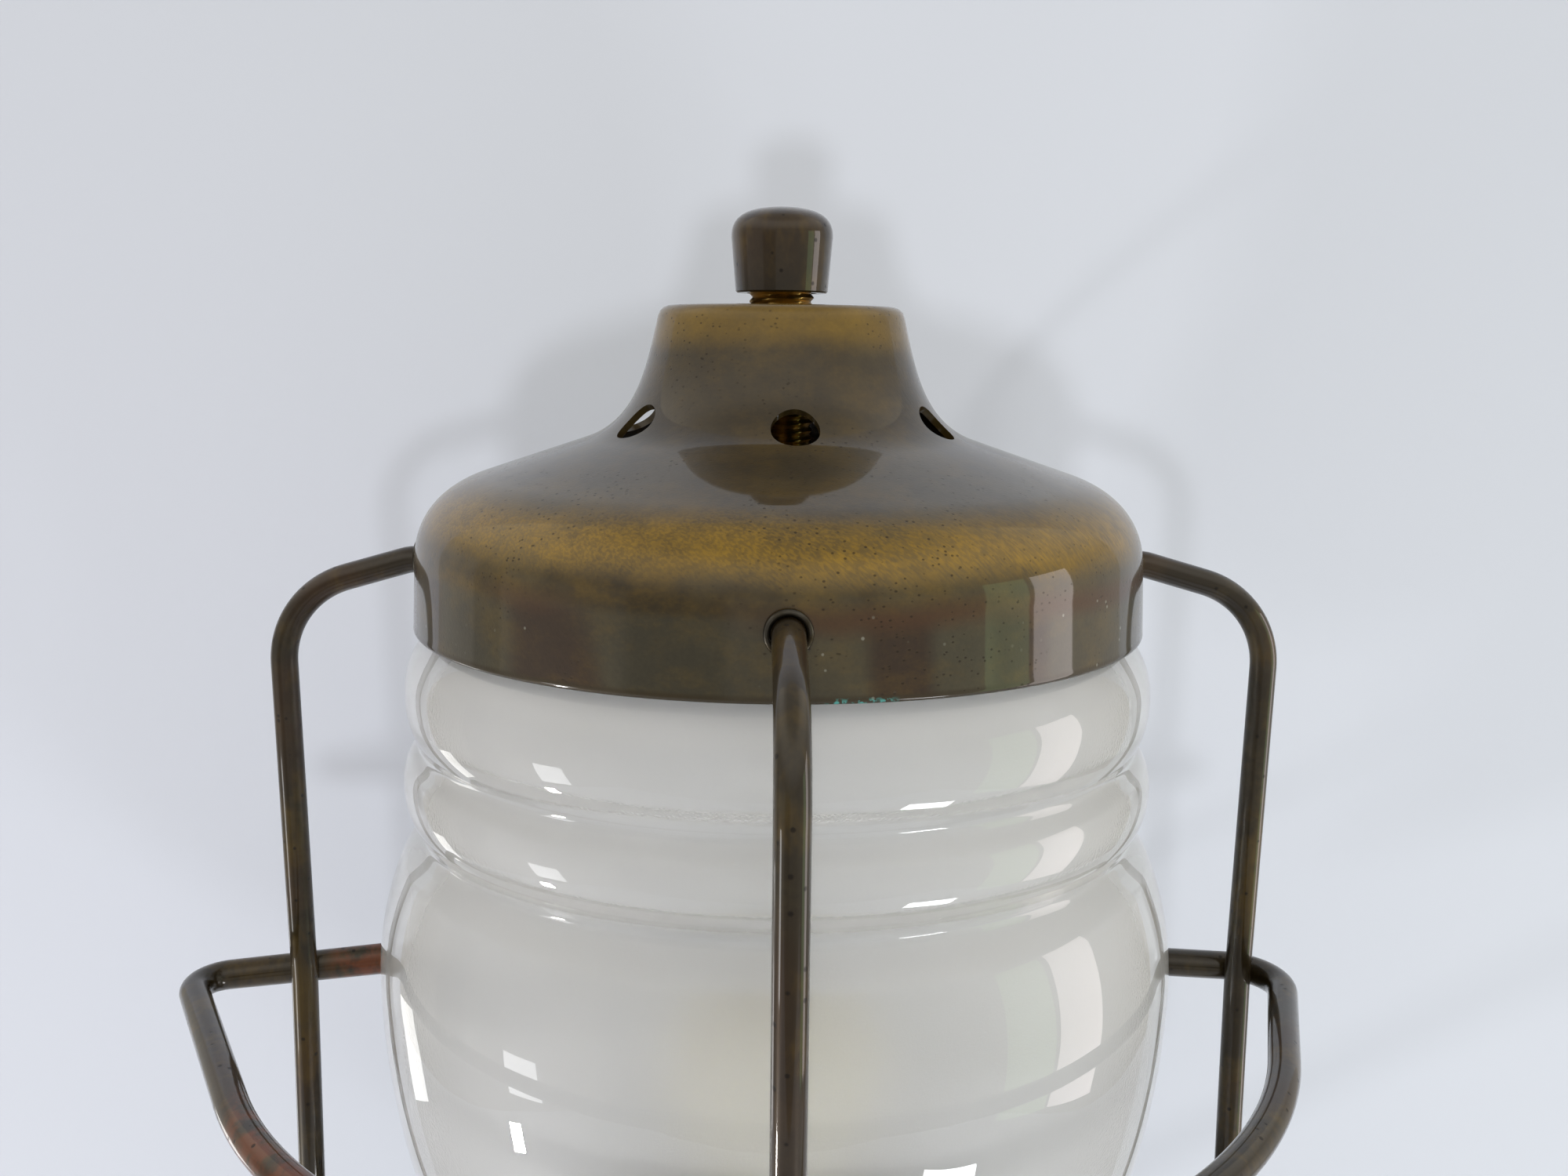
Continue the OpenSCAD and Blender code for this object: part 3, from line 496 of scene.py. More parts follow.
def knurl(radius, teeth, depth):
    """Shape of a knurled head: near its full radius, r less depth times the square of a raised cosine of
    teeth times a."""
    def shape(r, h, a):
        return r - np.where(r > radius * 0.9, depth * (0.5 - 0.5 * np.cos(teeth * a)) ** 2, 0)
    return shape


def nut(where, flats, thick, bore, low=0.0):
    """Chamfered hexagon nut, its lower face at low along the frame's z."""
    full, face, cut = flats * 0.58, flats * 0.49, flats * 0.045
    profile = np.array([
        [bore, low + cut / 2], [bore + cut / 2, low], [face, low], [full, low + cut],
        [full, low + thick - cut], [face, low + thick], [bore + cut / 2, low + thick],
        [bore, low + thick - cut / 2]])
    return spin(profile, where, segments=72, closed=True, shape=hexagon(flats, bore + cut / 2))


def rope(line, radius, where, sides=28, section=None, edge=0.35 * MM):
    """Round wire along a flat line: point + r (cos f n + sin f b), n to the line's right in its plane and b
    across it. section(s, f) scales r, s being the length so far. Each end is a flat disc with a round
    edge."""
    s, n = lengths(line), normals(line)
    quarter = np.radians(np.linspace(0, 90, 5))
    depth = np.concatenate([[0], edge * (1 - np.cos(quarter))])
    shrink = np.concatenate([[0], 1 - edge / radius * (1 - np.sin(quarter))])
    inner = s[(s > edge * 1.2) & (s < s[-1] - edge * 1.2)]
    along = np.concatenate([depth, inner, s[-1] - depth[::-1]])
    size = np.concatenate([shrink, np.ones(len(inner)), shrink[::-1]])[:, None]
    at = np.stack([np.interp(along, s, line[:, k]) for k in range(2)], axis=1)
    side = np.stack([np.interp(along, s, n[:, k]) for k in range(2)], axis=1)
    f = np.linspace(0, TURN, sides, endpoint=False)
    r = radius * size * (1 if section is None else section(along[:, None], f[None]))
    flat = at[:, None, :] + (r * np.cos(f))[..., None] * side[:, None, :]
    grid = np.concatenate([flat, (r * np.sin(f))[..., None]], axis=-1)
    axes, origin = where
    return patch(grid @ axes + origin, wrap_columns=True)


def compass(azimuth):
    """Directions at an azimuth round the lantern, 0 the front and 90 the right: outwards and sideways."""
    a = math.radians(azimuth)
    return np.array([math.sin(a), -math.cos(a), 0]), np.array([math.cos(a), math.sin(a), 0])


def outward(azimuth, height, radius=0.0):
    """Frame whose z axis points away from the lantern's axis, at that height and radius."""
    ahead, side = compass(azimuth)
    return np.array([side, [0, 0, 1], ahead]), ORIGIN + ahead * radius + np.array([0, 0, height])


def radial(azimuth):
    """Frame of the upright plane through the lantern's axis: x outwards, y up."""
    ahead, side = compass(azimuth)
    return np.array([ahead, [0, 0, 1], side]), ORIGIN


def heights(node):
    """Lowest and highest height of a CAD node above the cap's rim."""
    return [corner.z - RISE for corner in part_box(node)]


def shank(radius, side):
    """Profile of a straight stretch: the radius at each of the heights in side."""
    return np.stack([np.full(len(side), radius), side], axis=1)


def smooth(mesh):
    """Smooth shading with sharp creases."""
    mesh.shade_smooth()
    mesh.set_sharp_from_angle(angle=math.radians(CREASE))


def clean(mesh):
    """Welds doubled points, turns the faces outwards and sets the shading."""
    work = bmesh.new()
    work.from_mesh(mesh)
    bmesh.ops.remove_doubles(work, verts=work.verts, dist=WELD)
    bmesh.ops.recalc_face_normals(work, faces=work.faces)
    work.to_mesh(mesh)
    work.free()
    smooth(mesh)


def mesh_of(name, patches):
    """One clean mesh from patches of points and quads."""
    starts = np.cumsum([0] + [len(points) for points, _ in patches])
    points = np.concatenate([p for p, _ in patches])
    quads = np.concatenate([q + start for (_, q), start in zip(patches, starts)])
    mesh = bpy.data.meshes.new(name)
    mesh.vertices.add(len(points))
    mesh.vertices.foreach_set("co", points.astype(np.float32).ravel())
    mesh.loops.add(quads.size)
    mesh.loops.foreach_set("vertex_index", quads.astype(np.int32).ravel())
    mesh.polygons.add(len(quads))
    mesh.polygons.foreach_set("loop_start", np.arange(0, quads.size, 4, dtype=np.int32))
    mesh.update(calc_edges=True)
    clean(mesh)
    return mesh


def place(name, data):
    """A new object at the origin for a mesh, a light or a camera."""
    made = bpy.data.objects.new(name, data)
    bpy.context.scene.collection.objects.link(made)
    return made


def piece(name, patches, body, slot, *nodes):
    """One piece from patches, in its slot's finish, riding on a body in place of its CAD nodes."""
    made = place(name, mesh_of(name, patches))
    made.data.materials.append(finish_of(slot))
    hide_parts(*nodes)
    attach(made, body)
    return made


def drill(target, bores):
    """Cuts round bores through a piece. Each is (frame, radius, from, to) along the frame's z axis."""
    for where, radius, low, high in bores:
        profile = np.array([[0, low], [radius, low], [radius, high], [0, high]])
        bore = place("bore", mesh_of("bore", [spin(profile, where, segments=56)]))
        cut = target.modifiers.new("bore", "BOOLEAN")
        cut.operation, cut.solver, cut.object = "DIFFERENCE", "EXACT", bore
        graph = bpy.context.evaluated_depsgraph_get()
        result = bpy.data.meshes.new_from_object(target.evaluated_get(graph))
        target.modifiers.clear()
        old, target.data = target.data, result
        tool = bore.data
        bpy.data.objects.remove(bore)
        bpy.data.meshes.remove(tool)
        bpy.data.meshes.remove(old)
    smooth(target.data)


def mark_inside(made, outer, wall):
    """Attribute inside: 1 at points that lie more than half a wall nearer the axis than the outer line, and
    more than half a wall below its start. The line runs from top to foot."""
    co = np.empty(len(made.data.vertices) * 3, np.float32)
    made.data.vertices.foreach_get("co", co)
    co = co.reshape(-1, 3) - ORIGIN
    out = np.interp(-co[:, 2], -outer[:, 1], outer[:, 0])
    inside = (np.hypot(co[:, 0], co[:, 1]) < out - wall / 2) & (co[:, 2] < outer[0, 1] - wall / 2)
    attribute = made.data.attributes.new("inside", "FLOAT", "POINT")
    attribute.data.foreach_set("value", inside.astype(np.float32))


def dress(slot, *nodes):
    """Gives CAD nodes that stay their slot's finish."""
    for node in nodes:
        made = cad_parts[node]
        made.data.materials.clear()
        made.data.materials.append(finish_of(slot))


class Link:
    """A socket in a sum: each operator adds the Math node that works it out."""

    def __init__(self, finish, socket):
        self.finish, self.socket = finish, socket

    def maths(self, operation, *values):
        """What the Math node of that operation makes of the values."""
        return self.finish.node("Math", {"operation": operation}, dict(enumerate(values)))

    def __add__(self, other):
        return self.maths("ADD", self, other)

    __radd__ = __add__

    def __sub__(self, other):
        return self.maths("SUBTRACT", self, other)

    def __rsub__(self, other):
        return self.maths("SUBTRACT", other, self)

    def __mul__(self, other):
        return self.maths("MULTIPLY", self, other)

    __rmul__ = __mul__

    def least(self, other):
        return self.maths("MINIMUM", self, other)

    def most(self, other):
        return self.maths("MAXIMUM", self, other)

    def step(self, low, high):
        """0 below low and 1 above high, smooth between them. With low above high it falls instead."""
        ends = {"From Min": min(low, high), "From Max": max(low, high)}
        rising = self.finish.node("MapRange", {"interpolation_type": "SMOOTHSTEP"}, {"Value": self, **ends})
        return rising if low < high else 1 - rising

    def band(self, low, high, soft):
        """1 between low and high, falling to 0 over soft on both sides."""
        return self.step(low - soft, low + soft) * self.step(high + soft, high - soft)


class Finish:
    """A material's or the world's nodes as they are added."""

    def __init__(self, owner):
        owner.use_nodes = True
        self.owner, self.tree = owner, owner.node_tree
        self.tree.nodes.clear()

    def node(self, kind, settings=None, values=None, output=0):
        """Adds one node: first its settings, then the values or links of its inputs."""
        made = self.tree.nodes.new("ShaderNode" + kind)
        for key, value in (settings or {}).items():
            setattr(made, key, value)
        for key, value in (values or {}).items():
            if isinstance(value, Link):
                self.tree.links.new(value.socket, made.inputs[key])
            else:
                made.inputs[key].default_value = value
        return Link(self, made.outputs[output]) if made.outputs else made

    def place(self, scale=(1, 1, 1), tilt=0.0):
        """Object coordinates from the lantern's own origin, tilted in the wall's plane and then scaled."""
        here = self.node("TexCoord", output="Object")
        moved = self.node("VectorMath", {"operation": "SUBTRACT"}, {0: here, 1: tuple(ORIGIN)})
        tilted = self.node("Mapping", None, {"Vector": moved, "Rotation": (0, tilt, 0)})
        return self.node("VectorMath", {"operation": "MULTIPLY"}, {0: tilted, 1: scale})

    def split(self, vector):
        """The vector's three parts."""
        made = self.node("SeparateXYZ", None, {0: vector}).socket.node
        return [Link(self, socket) for socket in made.outputs]

    def noise(self, where, scale, detail=3.0, rough=0.55):
        return self.node("TexNoise", None, {
            "Vector": where, "Scale": scale, "Detail": detail, "Roughness": rough})

    def dots(self, where, scale, size, share):
        """1 inside round dots of about size cells across, round that share of the scattered points."""
        near = self.node("TexVoronoi", None, {"Vector": where, "Scale": scale})
        pick = self.split(Link(self, near.socket.node.outputs["Color"]))[0]
        return near.step(size, size / 2) * pick.step(1 - share, 1.02 - share)

    def mix(self, a, b, factor):
        """Colour a where factor is 0, b where it is 1."""
        return self.node("Mix", {"data_type": "RGBA"}, {0: factor, 6: a, 7: b}, output=2)

    def shade(self, colour, factor):
        """The colour times a number that varies over the surface."""
        return self.node("VectorMath", {"operation": "SCALE"}, {0: colour, "Scale": factor})

    def bump(self, height, strength, distance):
        return self.node("Bump", None, {"Height": height, "Strength": strength, "Distance": distance})

    def close(self, **sockets):
        """Ends with the Principled shader; underscores in the sockets' names stand for spaces."""
        values = {key.replace("_", " "): value for key, value in sockets.items()}
        self.node("OutputMaterial", None, {"Surface": self.node("BsdfPrincipled", None, values)})


def cap_patina(f, here, colours):
    """Dark lacquered brass of the cap, with its golden belt, golden top edge, pits, specks and verdigris.
    The attribute inside is 1 on the cap's raw inner face, painted dark brown there as painted shade."""
    x, y, z = f.split(here)
    height = z * (1 / MM)
    cloud = f.noise(here, 26.0, 4.0, 0.6)
    drift = f.noise(here, 11.0, 2.0, 0.5)
    level = height + (cloud - 0.5) * 5.0 + (drift - 0.5) * 3.0
    # Short fine dashes that fall to the right, left by the last polish
    dashes = f.noise(f.place((0.2, 1, 1), -0.8), 2300.0, 1.0).step(0.40, 0.62)
    mottle = f.noise(here, 170.0, 4.0, 0.7)
    grain = f.noise(here, 1500.0, 2.0, 0.5)
    base = f.mix(colours.umber, colours.olive, f.noise(here, 34.0, 5.0, 0.62).step(0.36, 0.66))
    base = f.mix(base, colours.slate, f.noise(here, 19.0, 4.0, 0.6).step(0.50, 0.74) * 0.5)
    band = height.step(*BAND_TOP)
    panels = f.noise(f.place((1, 1, 0.12)), 36.0, 1.0).step(0.50, 0.57) * band
    base = f.mix(base, colours.slate, band * 0.45)
    base = f.mix(base, PANEL_BROWN, panels * 0.85)
    worn = f.noise(f.place((1, 1, 1.6)), 75.0, 5.0, 0.7).step(0.42, 0.72)
    base = f.mix(base, colours.gold, worn * (0.24 - band * 0.10))
    belt = level.band(*BELT, 2.6) * (0.50 + 0.45 * dashes + 0.45 * mottle.step(0.35, 0.65))
    crown = level.band(*CROWN, 2.6) * (0.35 + 0.6 * mottle)
    red = level.band(*SEAM, 1.8) * f.noise(here, 15.0, 2.0).step(0.40, 0.60)
    base = f.mix(base, colours.russet, red * 0.85)
    base = f.mix(base, colours.gold, (belt * 0.72).most(crown * 0.75).least(1.0))
    base = f.mix(base, colours.umber, level.band(*NECK, 3.5) * 0.40)
    # The rim's edge alone, without the cup and the tray far below it
    rim = height.step(-1.5, -1.0)
    base = f.mix(base, colours.umber, height.step(*RIM_EDGE) * rim * 0.8)
    # Dark pits in clusters above the band, pale specks on it, and green specks along the rim's front
    pits = f.dots(f.place((1, 1, 1.4)), 950.0, 0.30, 0.45) * f.noise(here, 38.0).step(0.42, 0.60)
    specks = f.dots(here, 560.0, 0.19, 0.30) * band * f.noise(here, 30.0).step(0.42, 0.6)
    green = height.step(1.1, 0.2) * rim * y.step(-0.030, -0.050) * x.band(*GREEN_ACROSS, 1.2 * MM)
    green = green * f.noise(here, 1100.0, 2.0).step(0.50, 0.60)
    inside = f.node("Attribute", {"attribute_name": "inside"}, output="Fac")
    base = f.mix(base, PIT_DARK, pits * 0.7)
    base = f.mix(base, SPECK_PALE, specks * 0.55)
    base = f.mix(base, colours.verdigris, green)
    # Painted shade: the cap's inner face is painted near-black brown, standing in for the shade inside the
    # cap
    base = f.mix(base, INNER_SHADE_BROWN, inside)
    base = f.shade(base, 0.84 + 0.32 * grain)
    relief = f.bump(grain * 0.2 + dashes * 0.15 - pits * 0.9 + specks * 0.5, 0.35, 0.10 * MM)
    f.close(Base_Color=base, Metallic=0.3, Roughness=0.34 + 0.16 * cloud + 0.25 * green,
            Normal=relief, Specular_IOR_Level=0.15, Coat_Roughness=0.045, Coat_IOR=1.55,
            Coat_Weight=(0.74 - pits * 0.4) * (1 - inside))


def rod_patina(f, here, colours):
    """Darker lacquered patina of rods, hoop, knob and arm, rubbed through to brown gold in places."""
    x, _, z = f.split(here)
    mottle = f.noise(here, 120.0, 4.0, 0.65)
    drift = f.noise(here, 30.0, 2.0, 0.5)
    lines = f.noise(f.place((1, 1, 0.12)), 700.0, 3.0, 0.6)
    base = f.mix(colours.umber, colours.olive, mottle.step(0.42, 0.72) * 0.7)
    base = f.mix(base, colours.russet, drift.step(0.46, 0.62) * 0.6)
    base = f.mix(base, colours.slate, f.noise(here, 62.0).step(0.56, 0.76) * 0.4)
    rub = f.noise(f.place((1, 1, 0.5)), 90.0, 4.0, 0.7).step(0.46, 0.66) * (0.4 + 0.6 * lines)
    base = f.mix(base, colours.gold, rub * 0.36)
    # Heat tint on the left end bar of the hoop, beside the glass
    heat = x.band(*HEAT_ACROSS, 3 * MM) * z.band(*HEAT_HEIGHT, 1 * MM)
    heat = heat * f.noise(here, 260.0, 3.0).step(0.36, 0.62)
    base = f.mix(base, colours.copper, heat * 0.9)
    pits = f.dots(here, 520.0, 0.26, 0.24)
    base = f.mix(base, ROD_PIT_DARK, pits * 0.8)
    relief = f.bump(mottle * 0.3 + lines * 0.3 - pits * 0.8, 0.3, 0.10 * MM)
    f.close(Base_Color=f.shade(base, 0.60), Metallic=0.35, Roughness=0.30 + 0.2 * mottle,
            Normal=relief, Specular_IOR_Level=0.15, Coat_Weight=0.85 - pits * 0.5,
            Coat_Roughness=0.05, Coat_IOR=1.5)


def bare_brass(f, here, colours):
    """Turned brass with fine tool marks and a thin tarnish."""
    marks = f.noise(f.place((1, 1, 12)), 420.0, 3.0, 0.6)
    tarnish = f.noise(here, 90.0, 4.0, 0.6).step(0.42, 0.70)
    base = f.mix(colours.brass, colours.gold, tarnish * 0.7)
    base = f.mix(base, colours.umber, f.noise(here, 210.0).step(0.56, 0.74) * 0.45)
    f.close(Base_Color=base, Metallic=1.0, Roughness=0.22 + 0.2 * marks + 0.12 * tarnish,
            Normal=f.bump(marks, 0.2, 0.06 * MM))


def bead_metal(f, here, colours):
    """Rolled beads of grey metal, dulled by tarnish."""
    tarnish = f.noise(here, 300.0).step(0.40, 0.70)
    base = f.mix(BEAD_GREY, colours.umber, tarnish * 0.8)
    f.close(Base_Color=base, Metallic=1.0, Roughness=0.30 + 0.2 * tarnish,
            Normal=f.bump(f.noise(here, 900.0), 0.15, 0.06 * MM))


def shade_glass(f, here, colours):
    """Clear glass. Its inner face, where the attribute inside is 1, is etched in front and behind; at the
    sides a stripe is left clear."""
    x, y, _ = f.split(here)
    inside = f.node("Attribute", {"attribute_name": "inside"}, output="Fac")
    etch = f.noise(here, 2400.0, 2.0, 0.6)
    waves = f.noise(here, 42.0, 2.0, 0.5)
    # The square of the sine of the angle from the sides is y y / (x x + y y)
    aside = f.node("Math", {"operation": "DIVIDE"}, {0: y * y, 1: x * x + y * y})
    etched = inside * aside.step(0.20, 0.30)
    frost = bpy.context.scene.lantern_glass.frost
    relief = f.bump(waves * 0.6 + etched * etch * 0.25, 0.22, 0.45 * MM)
    tint = f.mix(GLASS_CLEAR, GLASS_DIM, waves.step(0.35, 0.7))
    f.close(Base_Color=tint, Roughness=etched * (frost - 0.08 + 0.16 * etch), Normal=relief,
            IOR=1.5, Transmission_Weight=0.78)


def opal_glass(f, here, colours):
    """Cream opal glass of the bulb."""
    cloud = f.noise(here, 60.0)
    f.close(Base_Color=f.shade(colours.opal[:3], 0.94 + 0.10 * cloud), Roughness=0.16 + 0.08 * cloud,
            Coat_Weight=0.6, Coat_Roughness=0.05, Subsurface_Weight=0.25,
            Subsurface_Radius=(0.004, 0.004, 0.003), Subsurface_Scale=1.0,
            Normal=f.bump(f.noise(here, 240.0), 0.05, 0.1 * MM))


def cork(f, here, colours):
    """Pressed cork with dark grains."""
    grains = f.dots(here, 900.0, 0.45, 0.3)
    f.close(Base_Color=f.mix(colours.cork, GRAIN_BROWN, grains), Roughness=0.80 + 0.1 * grains,
            Normal=f.bump(grains, 0.5, 0.3 * MM))


def zinc(f, here, colours):
    """Zinc plated steel with a faint bloom."""
    bloom = f.noise(here, 260.0, 4.0, 0.6)
    f.close(Base_Color=f.shade(colours.zinc[:3], 0.8 + 0.35 * bloom), Metallic=1.0,
            Roughness=0.26 + 0.2 * bloom, Normal=f.bump(f.noise(here, 1200.0), 0.15, 0.05 * MM))


def porcelain(f, here, colours):
    """White glazed porcelain with a few iron flecks."""
    cloud = f.noise(here, 70.0, 4.0)
    base = f.mix(colours.porcelain, FLECK_BROWN, f.dots(here, 330.0, 0.12, 0.12) * 0.7)
    f.close(Base_Color=f.shade(base, 0.93 + 0.12 * cloud), Roughness=0.22 + 0.1 * cloud,
            Coat_Weight=0.8, Coat_Roughness=0.05, Normal=f.bump(cloud, 0.15, 0.4 * MM))


def moulded(f, here, colours, tone, rough):
    """Moulded ivory plastic with a faint grain."""
    cloud = f.noise(here, 120.0)
    f.close(Base_Color=f.shade(colours.ivory[:3], tone + 0.12 * cloud), Roughness=rough + 0.1 * cloud,
            Normal=f.bump(f.noise(here, 1500.0), 0.2, 0.06 * MM))


def ivory_block(f, here, colours):
    """Moulding of the terminal block."""
    moulded(f, here, colours, tone=0.9, rough=0.45)


def lead_sheath(f, here, colours):
    """Sheath of the lead, paler and glossier than the block."""
    moulded(f, here, colours, tone=1.0, rough=0.30)


# The maker of each slot's finish
MAKERS = {
    "patina_brass": cap_patina,
    "rod_brass": rod_patina,
    "bare_brass": bare_brass,
    "bead_metal": bead_metal,
    "shade_glass": shade_glass,
    "bulb_opal": opal_glass,
    "cork": cork,
    "zinc_steel": zinc,
    "porcelain": porcelain,
    "block_plastic": ivory_block,
    "lead_sheath": lead_sheath,
}


def finish_of(slot):
    """The material of a slot's finish, made the first time that it is asked for. Its name has an ending of
    its own, because the frame's materials have the slots' plain names."""
    maker = MAKERS[slot]
    name = maker.__name__ + "_finish"
    if name not in bpy.data.materials:
        f = Finish(bpy.data.materials.new(name))
        maker(f, f.place(), bpy.context.scene.lantern_finish)
    return bpy.data.materials[name]


def cap_outline(cap):
    """Outline of the spun sheet and the neck's curve: a rounded edge, the neck's hollow curve, the shallow
    cone, the shoulder's curve and the band, then the same line one thickness further in."""
    edge, lean = 2.2 * MM, 13
    away = np.array([math.cos(math.radians(lean)), math.sin(math.radians(lean))])
    cone_end = np.array([cap.rim_radius - cap.shoulder_width, cap.band_height + cap.shoulder_height])
    neck_end = np.array([cap.neck_foot, cone_end[1] + cap.cone_fall])
    tilt = math.atan(cap.cone_fall / (cone_end[0] - neck_end[0]))
    centre = np.array([cap.top_radius - edge, cap.height - edge])
    neck_start = centre + edge * away
    pull = 0.45 * (neck_start[1] - neck_end[1])
    down_neck = np.array([away[1], -away[0]])
    down_cone = np.array([math.cos(tilt), -math.sin(tilt)])
    band_top = np.array([cap.rim_radius - cap.band_flare, cap.band_height])
    reach = np.array([0, cap.shoulder_height / 2])
    neck = bezier(neck_start, neck_start + pull * down_neck, neck_end - pull * down_cone, neck_end, 101)
    shoulder = bezier(cone_end, cone_end + reach[1] * down_cone, band_top + reach, band_top, 60)
    hole = np.array([[cap.stud / 2 + 0.3 * MM, cap.height]])
    outer = np.concatenate([hole, arc(centre, edge, 90, lean, 9), neck[1:], shoulder, [[cap.rim_radius, 0]]])
    outer = evenly(outer, 0.9 * MM)
    inner = (outer + cap.sheet * normals(outer))[::-1]
    # A folded edge: the sheet's foot and its hole are closed by small half rounds
    foot = arc((outer[-1] + inner[0]) / 2, cap.sheet / 2, 0, -180, 7)[1:-1] + [0, cap.sheet / 2]
    outer[-1, 1] = cap.sheet / 2
    inner[0, 1] = cap.sheet / 2
    return np.concatenate([outer, foot, inner]), neck


class LANTERN_OT_cap(bpy.types.Operator):
    """Spins the cap shell, drills its vents and fits what hangs inside it"""

    bl_idname = "lantern.cap"
    bl_label = "Cap"

    def execute(self, context):
        cap = context.scene.lantern_cap
        outline, neck = cap_outline(cap)
        made = piece("cap", [spin(outline, segments=224, closed=True)], "lantern", "patina_brass",
                     "cap_shell")
        mark_inside(made, outline[outline[:, 1].argmax():outline[:, 0].argmax() + 1], cap.sheet)
        # The vents are drilled square to the neck's curve, which has a hundred steps
        step = round(100 * cap.vent_place)
        spot, ahead = neck[step], neck[step + 2] - neck[step - 2]
        tilt = math.atan2(ahead[0], -ahead[1])
        first, deep = 3.5, 7 * MM
        bores = []
        for k in range(cap.vents):
            axes, origin = outward(first + 360 * k / cap.vents, spot[1], spot[0])
            side, up, out = axes
            drill_axis = out * math.cos(tilt) + up * math.sin(tilt)
            axes = np.array([side, np.cross(drill_axis, side), drill_axis])
            bores.append(((axes, origin), cap.vent / 2, -deep, deep))
        drill(made, bores)
        bore, thick, washer = cap.stud / 2 + FIT, 5 * MM, cap.height - cap.sheet - 1 * MM
        under, over = heights("heat_baffle")
        nuts = [nut(UPRIGHT, cap.stud_nut, thick, bore, low)
                for low in (washer - thick, over, under - thick)]
        piece("stud_lock_nuts", nuts, "lantern", "bare_brass", "stud_nuts")
        dress("bare_brass", "stud_washer", "heat_baffle", "glass_seat_ring")
        dress("cork", "upper_gasket", "lower_gasket")
        return {"FINISHED"}


class LANTERN_OT_knob(bpy.types.Operator):
    """Turns the knob and cuts the thread of its stud"""

    bl_idname = "lantern.knob"
    bl_label = "Knob and stud"

    def execute(self, context):
        cap = context.scene.lantern_cap
        low, high = heights("cap_knob")
        height, foot, wide = high - low, cap.knob_foot / 2, cap.knob / 2
        bore, deep = cap.stud / 2 + 0.05 * MM, height - 3.8 * MM
        crown = bezier([wide, 0.64 * height], [wide + 0.2 * MM, height - 1.4 * MM],
                       [wide * 2 / 3, height], [0, height], 24)
        profile = np.concatenate([
            [[0, deep], [bore, deep], [bore, 0.4 * MM], [bore + 0.4 * MM, 0]],
            [[foot - 0.3 * MM, 0], [foot, 0.3 * MM]],
            crown]) + [0, low]
        piece("knob", [spin(profile, segments=120)], "knob", "rod_brass", "cap_knob")
        bottom, top = heights("cap_stud")
        chamfer, radius = 0.8 * MM, cap.stud / 2
        profile = np.concatenate([
            [[0, bottom], [radius - chamfer, bottom]],
            shank(radius, np.arange(bottom + chamfer, top - chamfer, cap.pitch / 6)),
            [[radius - chamfer, top], [0, top]]])
        cut = thread(cap.pitch, 0.75 * MM, bottom, top)
        piece("stud", [spin(profile, segments=64, shape=cut)], "lantern", "bare_brass", "cap_stud")
        return {"FINISHED"}


def glass_line(glass, rim_radius):
    """Outer line of the shade, top to foot: an upper edge, two rings that fall into their grooves as powers
    of the depth, and two half ellipses for the barrel."""
    def fall(crest, valley):
        """From a ring's crest down its flank: r = crest - (crest - valley) t^power, z even in t."""
        t = np.linspace(0, 1, 24)
        (r0, z0), (r1, z1) = crest, valley
        return np.stack([r0 - (r0 - r1) * t ** glass.ring_power, z0 + (z1 - z0) * t], axis=1)

    def barrel(t, half):
        """Half ellipse round the widest place: r = radius cos t, z = half sin t - equator."""
        return np.stack([glass.radius * np.cos(t), half * np.sin(t) - glass.equator], axis=1)

    edge = rim_radius - glass.edge_inset
    upper, groove, lower = ((r, -z) for r, z in (glass.upper_ring, glass.groove, glass.lower_ring))
    start = math.asin((glass.equator - glass.waist) / glass.barrel_up)
    waist = (glass.radius * math.cos(start) - glass.waist_dip, -glass.waist)
    lean = math.asin((glass.foot - glass.equator) / glass.barrel_down)
    up, down = np.linspace(start * 0.8, 0, 34), np.linspace(0, lean, 70)
    return np.concatenate([
        [[edge, glass.edge_rise]], fall(upper, (edge + 0.5 * MM, 1 * MM))[::-1], fall(upper, groove)[1:],
        fall(lower, groove)[::-1][1:], fall(lower, waist)[1:],
        barrel(up, glass.barrel_up), barrel(down, -glass.barrel_down)[1:]])


def averaged(values, half):
    """The values averaged over a hann window that reaches half samples to both sides; the ends stay."""
    window = np.hanning(2 * half + 1)
    padded = np.pad(values, half, mode="reflect", reflect_type="odd")
    return np.convolve(padded, window / window.sum(), mode="valid")


class LANTERN_OT_shade(bpy.types.Operator):
    """Presses the ringed barrel glass"""

    bl_idname = "lantern.shade"
    bl_label = "Glass shade"

    def execute(self, context):
        glass = context.scene.lantern_glass
        outer = evenly(glass_line(glass, RIM_RADIUS), 0.8 * MM)
        outer[:, 0] = averaged(outer[:, 0], 4)
        # Inside, the grooves are deeper by a share of how far they lie below the mean radius within 20 mm
        dip = np.maximum(averaged(outer[:, 0], 25) - outer[:, 0], 0)
        soft = np.stack([averaged(outer[:, 0] - glass.ripple * dip, 3), outer[:, 1]], axis=1)
        inner = soft + glass.thickness * normals(soft)
        inner[0, 1], inner[-1, 1] = outer[0, 1], outer[-1, 1]
        edge = 0.6 * MM
        outline = np.concatenate([
            [outer[0] - [edge, 0]], arc(outer[0] - [edge, edge], edge, 80, 10, 5), outer[1:-1],
            arc(outer[-1] + [-edge, edge], edge, -10, -80, 5), [outer[-1] - [edge, 0]],
            [inner[-1] + [edge, 0]], inner[1:-1][::-1], [inner[0] + [edge, 0]]])
        made = piece("shade", [spin(outline, segments=224, closed=True)], "lantern", "shade_glass",
                     "glass_shade")
        mark_inside(made, outer, glass.thickness)
        return {"FINISHED"}


